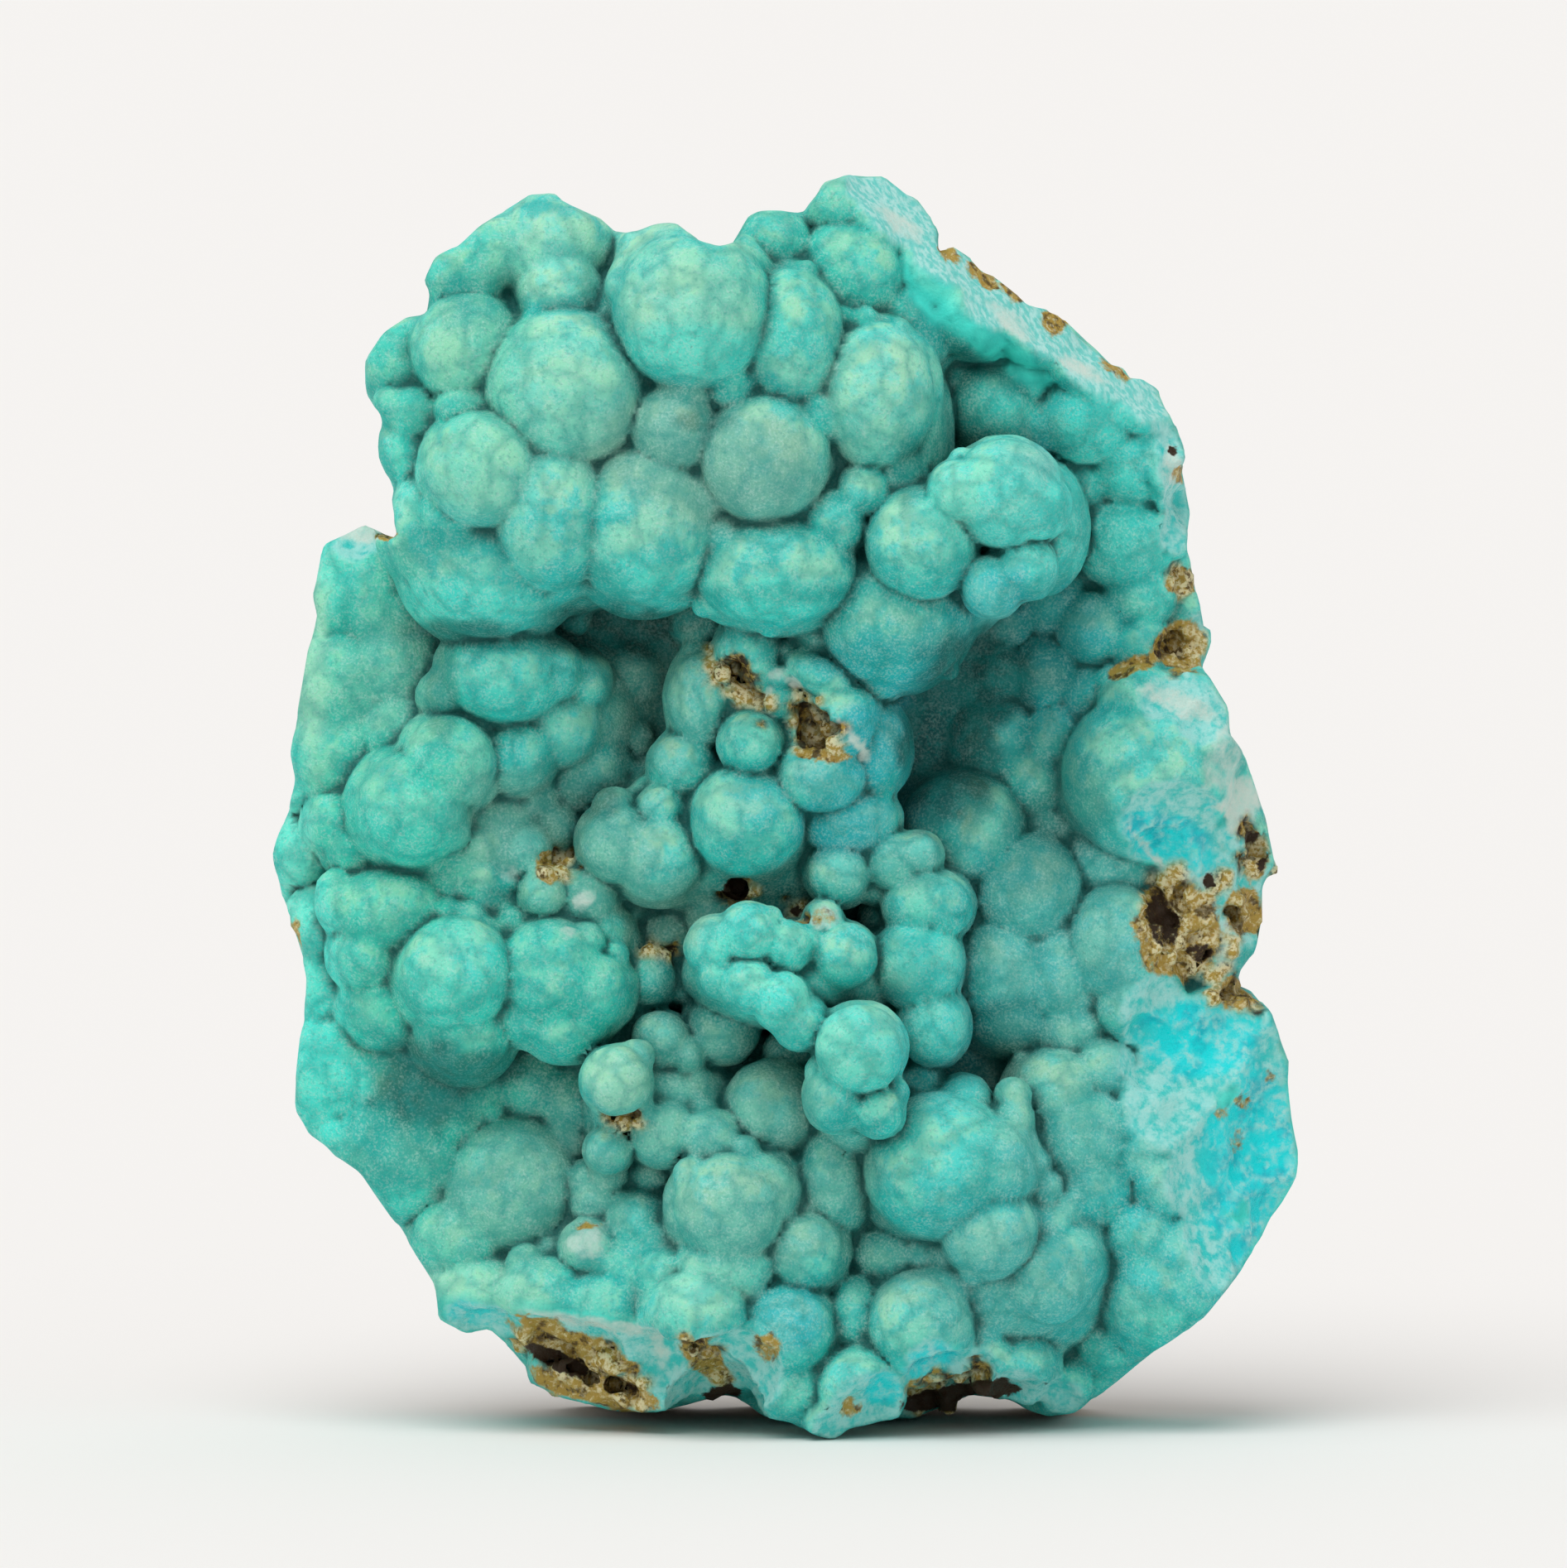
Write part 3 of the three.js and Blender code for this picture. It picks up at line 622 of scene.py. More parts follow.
@dataclass(frozen=True)
class Crust:
    """The botryoidal crust: broad swellings, a scatter of buds and the measured lumps."""

    # Broad swellings under the lumps: across, up, forward, half width, half height, turn and half depth.
    swellings: tuple[Row, ...] = (
        (-17, 98, 21, 21.5, 16, 0, 15), (-24, 87, 20.5, 13, 9.5, 0, 13), (1, 96, 21, 13, 17, 0, 14),
        (14, 83, 20.5, 9, 8, 0, 13), (-40, 70, 8.5, 8, 19, 0, 7), (-35, 34, 12, 13, 14, 0, 11),
        (-32, 55, 14, 13, 12, 0, 10), (-23, 68, 11.5, 10, 9, 0, 9), (-9, 14, 18, 20, 12, 0, 15),
        (20, 17, 18, 15, 12, 0, 15), (35, 24, 12.5, 12, 13, 0, 11), (24, 49, 9, 12, 15, 0, 8),
        (40, 55, 9.5, 7, 16, 0, 8), (42, 32, 10, 8, 12, 0, 8), (-5, 57, 15.5, 15, 10, 0, 13),
        (3, 67, 16.5, 8, 7, 0, 10), (1, 43.5, 20.5, 11, 5.5, 0, 10), (-12, 31, 15.5, 9, 7, 0, 10),
        (7, 32, 21.5, 5, 7, 0, 10), (-20, 43, 15, 9, 9, 0, 10), (-8, 110, 17, 15, 6, 0, 12),
        (-16, 32.2, 18.6, 2.8, 4, 0, 4), (-5, 71, 15.5, 5, 7, 0, 9), (5, 23, 16, 6, 8, 0, 10),
        (14, 109, 13, 12, 6, -36, 9),
    )
    upper_mass: Cluster = Cluster((
        (-31, 110.5, 17.5, 4), (-28.3, 112.8, 17, 3.6), (-22.2, 113, 18, 5.4), (-21.5, 108.8, 20, 3.6),
        (-36.6, 102.4, 16.5, 4), (-30.6, 103.5, 21.5, 4.6), (-35.5, 97.3, 19, 2.4),
        (-30.5, 97.8, 21.5, 2.8, 2), (-36.4, 93.6, 18.5, 2.7), (-21, 99.5, 26, 6.8),
        (-15.6, 106.4, 21, 2.4), (-8.8, 107.2, 28, 6.5), (0.5, 104.3, 25, 4.4, 5.9),
        (8.7, 99, 25, 4.8, 6), (11.9, 95.2, 20, 3.2, 6.5), (-10.5, 96, 25, 3.8), (-9.5, 99.7, 24, 2.6),
        (-5.2, 100.3, 24, 2.3), (-2, 93.2, 27, 5.4), (3.4, 97.2, 23.5, 2.6), (-29, 92, 26.5, 4.7),
        (-22.5, 88, 26, 5, 6.5), (-33.7, 86.5, 21, 4.2, 5), (-28.4, 83.2, 22.8, 6.8, 6.2),
        (-13.5, 87, 26, 6.3, 6.8), (-8.3, 89.5, 23.5, 2.8), (-0.8, 82.5, 25.5, 6.6, 4.8),
        (-6.2, 85.3, 23, 2.5), (4.6, 87, 23.5, 2.7), (7.6, 90, 23, 2.2), (10.8, 91.6, 21.5, 2.6),
        (-31.5, 87.5, 22.5, 3.6),
    ))
    top_edge: Cluster = Cluster((
        (-12.5, 112.4, 19, 3.4), (-1.2, 113.4, 18, 3.5), (6, 110.6, 19, 5),
        (11.5, 106, 17.5, 3.8, 4.6, 40), (5.3, 117.5, 16, 3.6, 3), (10, 116.6, 17, 4, 3.6),
        (13.6, 110.4, 16.5, 4.2, 3.2, -45), (17, 106.6, 16.5, 4.4, 3, -30),
        (18, 110.3, 14.5, 3.8, 2.8, -40), (23.2, 105.4, 14.5, 4.4, 2.8, -35),
        (28.6, 101.6, 13.5, 4, 2.2, -30), (34.5, 98.3, 11.5, 2.8), (37, 92, 11.5, 1.9, 3),
        (5.6, 106.4, 20, 1.2), (7.6, 106.3, 20, 1.1),
    ), 1.14, 0.85, 1.3, 0.4)
    kidney: Cluster = Cluster((
        (13.3, 85, 26.5, 5.4), (16.8, 89.8, 26.5, 3), (21.2, 89.6, 27.5, 5.2), (24.2, 88.4, 26.5, 3.2),
        (20, 80.8, 25.5, 2.9), (23.2, 82.5, 25.5, 2.9), (24.8, 86.5, 19, 4.2, 6), (10.5, 78.2, 23, 7.3),
        (3.6, 76.6, 18, 3.6), (9.2, 73.2, 19, 3.2),
    ), 1.04, 1.0, 1.12, 0.75)
    right_hollow: Cluster = Cluster((
        (19.8, 98.4, 13, 3.8), (16.4, 100.4, 11.5, 3), (22.6, 101, 12, 2.6), (24.4, 96.8, 11, 3),
        (29, 97.3, 12.5, 4), (33.5, 93, 10.5, 4), (32.8, 85.3, 10, 4.1), (37.2, 86, 9.5, 1.9),
        (28, 91, 9.5, 3.2), (34, 80, 8.5, 3.1), (29.8, 76.8, 9, 3), (34, 75, 8.5, 2.8),
        (25.5, 72.5, 7.5, 3.4), (21, 72.6, 6.6, 2.4), (20.5, 65.3, 7.5, 4.7), (26.5, 66.3, 8, 3),
        (24, 62.2, 8, 4), (28.2, 86.4, 8.5, 2.8), (26, 79.5, 7.4, 3.2), (30, 70.5, 8, 3),
        (22, 77.4, 6.4, 2.2),
    ), 1.22, 0.85, 1.45, 0.4)
    right_side: Cluster = Cluster((
        (35, 62.5, 15.5, 7), (38.5, 66.8, 14, 5.2), (34.5, 69, 12.5, 3.6), (17.2, 57, 12, 5.2),
        (23.4, 51.5, 12.5, 4.7), (31.3, 54.3, 9.5, 4.3), (25.8, 57.4, 7.5, 2.4), (20.8, 44, 12.5, 4.7),
        (26.8, 43.6, 12, 4.3, 5), (22.2, 39.8, 11, 4.4, 3.6), (27.5, 38.3, 11, 4.2, 3.8),
        (31.8, 46.2, 13.5, 4, 5), (34, 40.8, 13, 3.6), (40.5, 36.5, 12.5, 6.6, 4.6, 25),
        (44.6, 31, 9.5, 4.4, 5), (45.6, 25.5, 9, 4, 5), (43.5, 20.8, 8.5, 3, 4), (30.7, 34, 12.5, 2.8),
        (26.2, 31.7, 14, 4), (28.6, 27.6, 15, 4.6), (29.6, 22.8, 14.5, 4.2), (36.5, 29.6, 14.5, 4.6),
        (34.4, 25.8, 14, 2.6), (36.8, 23.2, 14.5, 3.1), (38, 13.4, 15.5, 7), (34.4, 18.2, 14.5, 3.4),
        (31.5, 8.4, 10, 3.6), (30.5, 37, 9, 2), (27.5, 49.3, 9, 1.5), (18.5, 52.5, 9, 1.6),
        (41.8, 22.5, 10, 2.2), (43, 18.5, 9, 2.5), (31, 5.5, 8, 3),
    ), 1.2, 0.88, 1.4, 0.45)
    lower_right: Cluster = Cluster((
        (15, 24.8, 23.5, 6.9, 6.6), (19.2, 25, 22, 4.6), (19.6, 18.6, 22, 4.3), (25.2, 14.4, 19, 4.6),
        (27.3, 15.6, 18, 3.2), (25.6, 18.8, 16.5, 2.4), (21.9, 29.2, 17.5, 1.8),
        (22.2, 26.7, 16.5, 1.4), (24, 25.2, 16.5, 1.4), (25, 22.8, 16, 1.6), (10.6, 16.4, 16, 4.6, 3.4),
        (14.8, 13, 18.5, 3.8, 2.6), (13, 9.6, 21.5, 4.8), (6.7, 10.4, 18, 2.6, 3.8),
        (7, 3.4, 21.5, 3.8), (19.6, 6.3, 16, 2.8), (22.8, 5.4, 15.5, 3.2), (25, 8.6, 11.5, 2.4),
        (27, 4, 9.5, 3),
    ), 1.1, 1.0, 1.3, 0.5)
    bottom: Cluster = Cluster((
        (-5.3, 20.8, 22.5, 4.7), (-2.8, 22, 20.5, 3.8), (1.8, 16.7, 20, 3.4), (2, 20.8, 17, 2.2),
        (4.8, 23.8, 18.5, 3, 4.5), (-5.8, 15.2, 21, 4.4, 3), (-11.4, 14, 19, 2.8),
        (-8.4, 10.6, 22.5, 4.5, 3.9), (-10.6, 6.2, 19, 3.4, 4), (0, 9, 21.5, 4.1),
        (0.6, 4.2, 19.5, 4, 3.6), (-14.4, 19, 16, 2.9), (-13, 16.4, 14.5, 2.6), (-18, 21.3, 14, 2.4),
        (-19, 17, 17, 2.1), (-17.2, 11.6, 18, 3.8, 3.2), (-23, 12.6, 17, 4.4, 3.2),
        (-29, 12.6, 14.5, 4.6, 3.4), (-26.5, 22.6, 14, 6.6), (-36.5, 26.5, 12.5, 6.5),
        (-31, 18, 13, 4.4), (-18.5, 5.6, 14, 4.6, 3.4), (-13.6, 4.2, 15.5, 2.8),
        (-12.2, 24.2, 13.5, 1.3), (-17, 24, 14, 1.6),
    ), 1.16, 0.85, 1.4, 0.35)
    left_side: Cluster = Cluster((
        (-36, 59.3, 19, 4.8), (-32.3, 63.8, 18.5, 3.9), (-43.2, 57.9, 12.5, 2.6),
        (-41.4, 55.7, 13, 2.6), (-46.4, 55.2, 9, 3), (-38, 49.5, 16.5, 4.8, 3.8), (-42.2, 50, 15, 2.3),
        (-40.2, 45.3, 15.5, 3), (-38.2, 40.6, 14.5, 4.2), (-31.7, 43.4, 20.5, 4.9),
        (-31, 38.2, 18, 4.2),
    ), 1.16, 0.85, 1.4, 0.45)
    left_wall: Cluster = Cluster((
        (-42.3, 64.4, 10.6, 4.6), (-42.3, 71, 10.2, 4.6), (-37.2, 72.5, 10.4, 4.4),
        (-37.8, 79, 9.4, 5.4), (-42.4, 79, 8.6, 3), (-36.6, 66, 12, 3.4), (-33.4, 77.5, 9.4, 3),
        (-44, 42, 9.5, 3.4), (-43, 34, 11, 4.8), (-34.4, 32, 12.4, 5.4), (-38.6, 27, 12, 4),
        (-40.8, 83.6, 8, 3.4, 2.6), (-44.6, 48, 10, 2.6),
    ), 1.25, 0.6, 1.6, 0.2)
    middle_left: Cluster = Cluster((
        (-27.2, 72.4, 18.5, 4.9, 4.1), (-32.2, 70.4, 15, 2.1), (-22.6, 72.6, 16, 2.4),
        (-19.8, 71.6, 13, 2.4), (-22, 67.4, 14, 3.6), (-26, 64.6, 15.5, 3.2), (-19.6, 63, 11, 4.3),
        (-24.2, 60.6, 11.5, 2.5), (-22.4, 57.6, 11.5, 2.3), (-28.6, 57.2, 13, 2.3),
        (-25, 55.1, 14, 2.3), (-29.8, 51.2, 14, 2.9), (-26.8, 49.4, 13.5, 2.1), (-23.3, 51, 16, 1.9),
        (-19.2, 50.8, 15, 2.7), (-17.9, 47.2, 14.5, 2.7), (-22.6, 43.4, 19.5, 4.6),
        (-18.8, 41.8, 18.5, 3.4), (-21.2, 38.4, 18, 3.2, 2.8), (-25, 39.6, 17.5, 2.5),
        (-24.5, 33, 10.5, 4.2), (-20.4, 31.2, 11, 3.6), (-21.5, 27.4, 10.5, 2.8), (-14.7, 72.3, 7, 3.1),
        (-15.2, 50.6, 11, 2.3), (-33.2, 70.2, 14, 1.7), (-25.5, 58.7, 11, 1.8), (-26.5, 53, 13, 1.2),
        (-14, 40.5, 10, 1.7),
    ), 1.18, 0.9, 1.4, 0.35)
    centre: Cluster = Cluster((
        (-8, 70, 16.5, 2.9, 4.4), (-3.5, 74, 19, 2.8, 3.8), (-8, 77.4, 13, 2.5), (-0.4, 70, 17.5, 2),
        (3.4, 72.2, 20, 3.2, 1.6, -28), (-3.2, 65.6, 20, 2.6), (3.4, 62.6, 20.5, 3.8, 3.2),
        (5.2, 67.6, 21, 3, 3.6, -40), (8.4, 65.2, 17.5, 3.2, 4.2), (6, 58.3, 17.5, 4.3, 3.4),
        (-3.6, 58.2, 21, 4.9), (-9.8, 63.6, 16, 2.8), (-12, 59.4, 16.5, 1.8), (-16, 56, 17.5, 3.4),
        (-12.2, 54.8, 18, 4), (-10.8, 61.4, 15, 1.9), (5.2, 53, 18, 2.7), (10.4, 54.2, 17, 2.5),
        (13, 54.9, 16.5, 1.9), (8.8, 52.3, 15, 1.9), (-6.9, 49.2, 13, 2.4), (-2, 51.4, 11.5, 2.5),
        (-11.2, 47.4, 11, 2.5), (-13.3, 43, 13.5, 2.5), (-15.3, 42, 12.5, 1.6), (-9.4, 43, 11, 2.4),
        (-13.5, 61.2, 12.5, 1), (-14.8, 60, 13, 1.1), (-0.5, 72, 18.5, 0.9), (1, 51.5, 9, 2.2),
    ), 1.14, 0.95, 1.3, 0.45)
    fingers: Cluster = Cluster((
        (-6.5, 46, 23, 2.8), (-3.4, 47.3, 24, 2.8), (0, 46, 23, 2.5), (2.3, 46.2, 21, 2),
        (5.7, 45.1, 22, 3.1), (-6, 43.3, 23, 2.3), (-3.5, 42.2, 25, 2.6), (-0.4, 40.8, 25.5, 2.7),
        (1.5, 38.7, 25, 2.5), (7.3, 36.2, 28.5, 4.1), (5, 31.6, 26, 3, 3.2), (9, 30.2, 26, 2.4),
        (13.7, 50, 18, 4.2, 3.6), (12.6, 44.4, 19.5, 4.3), (14.2, 38.4, 18.5, 3.4, 3.8),
        (12.9, 33, 15, 2.2), (17.3, 31, 17, 2.5), (-16.2, 33.1, 22.5, 3.2), (-17, 26.3, 17.5, 2.2),
        (-11.6, 28, 18, 3.3), (-7.2, 27.3, 18.5, 3.1), (-12, 37, 15.5, 2.7), (-9.4, 35.6, 15, 1.8),
        (-12, 32.6, 12.5, 2.6), (-8.4, 32.4, 12.5, 2.8), (-6, 38, 14.5, 3.4), (-1, 30.4, 17.5, 4.7),
        (0.6, 35.6, 13, 2.6), (3.7, 48.6, 20, 1.9), (13, 33.8, 13.5, 1.8), (17.4, 48.6, 10, 2.4),
        (11.6, 51, 13, 3), (10, 48.6, 12, 2.6),
    ), 1.06, 1.0, 1.15, 0.7)
    # The scatter of buds: their pitch, how far each strays, the lowest row, their least and most radius and
    # sinking as a share of it, and the steepest slope that they grow on.
    bud_pitch: float = 3.6
    bud_stray: float = 1.4
    bud_lowest: float = 2.0
    bud_radius: Row = (1.1, 2.3)
    bud_sink: Row = (0.55, 0.85)
    bud_slope: float = 1.0
    # How softly each kind blends with what it sits on, and the rim's rounding under and over the lumps.
    swelling_fillet: float = 2.5
    skirt_fillet: float = 0.5
    fillet: float = 0.2
    rim_rounding: Row = (0.5, 0.6)

    def clusters(self) -> tuple[Cluster, ...]:
        """Every cluster of measured lumps."""
        return (
            self.upper_mass, self.top_edge, self.kidney, self.right_hollow, self.right_side,
            self.lower_right, self.bottom, self.left_side, self.left_wall, self.middle_left, self.centre,
            self.fingers,
        )

    def build(self, stone: Stone, slab: BrokenSlab) -> int:
        """Grows the crust on the stone.

        Args:
            stone: the grid that holds the slab.
            slab: the slab, whose outline the crust is trimmed back to before and after the lumps.

        Returns:
            How many lumps were joined.
        """
        lumps = [lump for cluster in self.clusters() for lump in cluster.lumps()]
        for row in self.swellings:
            stone.join(Lump(*row), self.swelling_fillet)
        for skirt in [skirt for cluster in self.clusters() for skirt in cluster.skirts()]:
            stone.join(skirt, self.skirt_fillet)
        for number, bud in enumerate(self.buds(stone), start=len(lumps) + 1):
            stone.join(bud, self.fillet, number)
        slab.trim(stone, self.rim_rounding[0])
        for number, lump in enumerate(lumps, start=1):
            stone.join(lump, self.fillet, number)
        slab.trim(stone, self.rim_rounding[1])
        return len(lumps)

    def buds(self, stone: Stone) -> list[Lump]:
        """Small lumps scattered over the front and sunk into it, which show between the measured ones."""
        across, _, height = stone.axes
        front = stone.front()
        steep = np.hypot(*np.gradient(front, stone.step))
        dice = np.random.default_rng(seed=5)
        found = []
        columns = np.arange(across[0], across[-1], self.bud_pitch)
        rows = np.arange(self.bud_lowest, height[-1], self.bud_pitch)
        for place in itertools.product(columns, rows):
            x, up = np.array(place) + dice.uniform(-self.bud_stray, self.bud_stray, 2)
            radius, sink = dice.uniform(*self.bud_radius), dice.uniform(*self.bud_sink)
            depth = stone.front_at(front, x, up)
            if stone.front_at(steep, x, up) < self.bud_slope:
                found.append(Lump(x, up, (1 - sink) * radius - depth, radius))
        return found


@dataclass(frozen=True)
class Breaks:
    """What was broken or weathered out of the crust."""

    # Pits: across, up, how far the floor stands forward, half width, half height and turn.
    pits: tuple[Row, ...] = (
        (2.8, 67.2, 14, 2.2, 2.6, 40), (-4.2, 71.2, 12, 1.3, 3.6, 48), (-22.2, 54.2, 10, 1.7, 1.3),
        (36.8, 48.4, 8, 2.4, 3.6, 15), (40.2, 45.6, 7, 2.6, 2.6), (38.4, 75, 4, 2, 1.7),
        (38.4, 81.3, 5, 1.5, 1.1), (45.5, 55.5, 4, 1.6, 2.2), (44.2, 41.4, 3, 2.4, 1.4),
        (-21.8, 6.4, 8, 3.8, 1.2, -26), (-18.6, 3.9, 8, 4.2, 0.7, -22), (-16, 5.4, 12, 2.4, 0.6, -30),
        (-7.8, 6, 14.5, 2.6, 1.1, -42), (16.2, 3.2, 9, 3.6, 1.5, 20), (-4.6, 51.6, 10, 1.2, 0.9),
        (1.2, 49.6, 14, 0.8, 0.7), (-15.8, 29.3, 12.5, 1.7, 0.6), (-12, 45.8, 9, 0.9, 0.6),
        (39.6, 50.6, 7.5, 1.5, 1.1), (43.8, 48.6, 5, 1.1, 1.5), (37.6, 53, 9.5, 0.7, 0.5),
        (42.2, 52.4, 7, 0.7, 0.6),
    )
    # A pit's half depth as a share of its larger half size, and the crumbs in it.
    pit_stretch: float = 2.4
    crumb_radius: Row = (0.4, 0.95)
    crumb_fillet: float = 0.2
    # Bites out of the edge: across, up, forward and radius.
    bites: tuple[Row, ...] = ((44, 50, 25, 15.5), (42, 35, 31, 21), (50, 23, 23, 16), (13, -8, 31, 16.5))
    # Faces where small shell-shaped chips came off: across, up, half width, half height, turn, and the way
    # the face leans, across and up.
    faces: tuple[Row, ...] = (
        (38.4, 69.4, 5, 2.4, -20, 0.5, 0.6), (37.8, 55.8, 5.6, 3.2, -30, 0.5, -0.3),
        (43.2, 50.5, 3.4, 5, 0, 0.7, 0), (40.6, 37, 6.6, 4.2, 0, 0.4, 0.2),
        (45.6, 31.5, 3, 4, 0, 0.7, 0), (46.4, 24, 3.4, 7, 0, 0.9, 0), (37.6, 90.5, 1.4, 6, 4, 0.9, 0.2),
        (40.2, 78.4, 1.4, 3.4, 0, 0.9, 0), (-19.5, 6.2, 6.4, 3.6, -12, 0, -0.8),
        (-30, 9.5, 3.6, 1.6, -10, -0.2, -0.8), (-8.4, 5.6, 4.4, 3.6, 0, 0, -0.7),
        (14.5, 4.6, 4, 2.4, 20, 0, -0.7), (9, 3.4, 2, 2, 0, 0.3, -0.7),
        (24.4, 3.2, 4.4, 1.8, -20, 0, -0.6), (-41.8, 85.6, 3.2, 1, -8, -0.2, 0.8),
    )
    chip_radius: Row = (2.2, 5.5)
    chip_depth: Row = (0.4, 1.2)
    chip_area: float = 4.5
    # How far each kind of wall wanders, and the size of its wandering.
    bite_wall: Row = (0.35, 3.5)
    chip_wall: Row = (0.12, 1.4)
    pit_wall: Row = (1.5, 2.1)
    # What the wandering starts from: the first bite's own number, and the one number of all chips.
    bite_seed: int = 40
    chip_seed: int = 60
    # The bevel across the top right edge, where the crust's fibres show: the places across that it lies
    # between, and how far it wanders.
    bevel: Plane = Plane((18, -15.2, 109.8), (0.58, -0.5, 0.64))
    bevel_span: Row = (4.0, 40.0)
    bevel_relief: float = 0.5

    def build(self, stone: Stone) -> None:
        """Cuts the bevel, the bites, the chips and the pits, in that order."""
        stone.shave(self.bevel, self.bevel_span, self.bevel_relief, FIBRE)
        for number, (across, up, forward, radius) in enumerate(self.bites):
            bite = Lump(across, up, forward + radius, radius)
            stone.cut(bite, *self.bite_wall, self.bite_seed + number, FRESH)
        dice = np.random.default_rng(seed=17)
        for face in self.faces:
            self.chip(stone, face, dice)
        for number, row in enumerate(self.pits):
            self.pit(stone, row, number, dice)

    def chip(self, stone: Stone, face: Row, dice: np.random.Generator) -> None:
        """Takes shallow bites out of one face: balls that reach a little below it, evenly spread over it.

        Args:
            stone: the grid.
            face: one row of the faces.
            dice: the source of chances.
        """
        *patch, lean_across, lean_up = face
        way = np.array([lean_across, -1.0, lean_up])
        way /= np.linalg.norm(way)
        front = stone.front()
        for _ in range(max(3, round(math.pi * patch[2] * patch[3] / self.chip_area))):
            far = math.sqrt(dice.uniform())
            place = self.spot(stone, front, patch, far, dice.uniform(0, 2 * math.pi))
            radius, reach = dice.uniform(*self.chip_radius), dice.uniform(*self.chip_depth)
            if not math.isnan(place[1]):
                ball = self.ball_at(place + (radius - reach) * way, radius)
                stone.cut(ball, *self.chip_wall, self.chip_seed, FRESH)

    def pit(self, stone: Stone, row: Row, number: int, dice: np.random.Generator) -> None:
        """Cuts one ragged pit and leaves crumbs in it.

        Args:
            stone: the grid.
            row: one row of the pits.
            number: chooses how it is ragged.
            dice: the source of chances.
        """
        across, up, floor, wide, tall, *rest = row
        turn = rest[0] if rest else 0.0
        deep = self.pit_stretch * max(wide, tall)
        stone.cut(Lump(across, up, floor + 2 * deep, wide, tall, turn, deep), *self.pit_wall, number, PIT)
        front = stone.front()
        for _ in range(round(5 + 2.5 * wide * tall)):
            far, around = dice.uniform(0.3, 1.3), dice.uniform(0, 2 * math.pi)
            place = self.spot(stone, front, (across, up, wide, tall, turn), far, around)
            radius = dice.uniform(*self.crumb_radius)
            if not math.isnan(place[1]):
                stone.join(self.ball_at(place, radius), self.crumb_fillet, CRUMB)

    @staticmethod
    def spot(stone: Stone, front: Array, patch: Row, far: float, around: float) -> Array:
        """A place on the stone's front, in or round an oval patch.

        Args:
            stone: the grid.
            front: the depth of its foremost stone.
            patch: the oval as seen: across, up, half width, half height and turn.
            far: how far out the place is, with 1 at the oval's edge.
            around: the angle round the oval, in radians.

        Returns:
            Across, deep and up, where deep is not a number if no stone is there.
        """
        across, up, wide, tall, turn = patch
        along, rise = turned(far * wide * math.cos(around), far * tall * math.sin(around), turn)
        depth = stone.front_at(front, across + along, up + rise)
        return np.array([across + along, depth, height_of(up + rise, depth)])

    @staticmethod
    def ball_at(middle: Array, radius: float) -> Lump:
        """A ball round a place, with its crown a radius before its middle."""
        return Lump(middle[0], seen_height(middle[2], middle[1]), radius - middle[1], radius)


class Mark(Enum):
    """What shows on a patch of the surface besides plain crust. The value names its mask on the mesh."""

    OCHRE = "ochre"
    RUST = "rust"
    CHALK = "chalk"
    SKY = "sky"
    # Painted shadow, cast by overhanging lumps into the pockets below them.
    SHADE = "shade"
    MINT = "mint"
    # Mostly painted light, brightening pockets in shadow and undersides lit from below; on the top right
    # bar, the crust's own brighter turquoise.
    BRIGHT_AND_PAINTED_LIGHT = "bright"
    TEAL = "teal"
    GLASS = "glass"
    LEAF = "leaf"
    DRUSE = "druse"


class Blotch(Enum):
    """How large the blotches of the finish's noises are, in millimetres."""

    SUGAR = 0.24
    GRIT = 0.5
    FLECK = 0.8
    FLAKE = 1.3
    CLOUD = 3.4
    DRIFT = 7.0


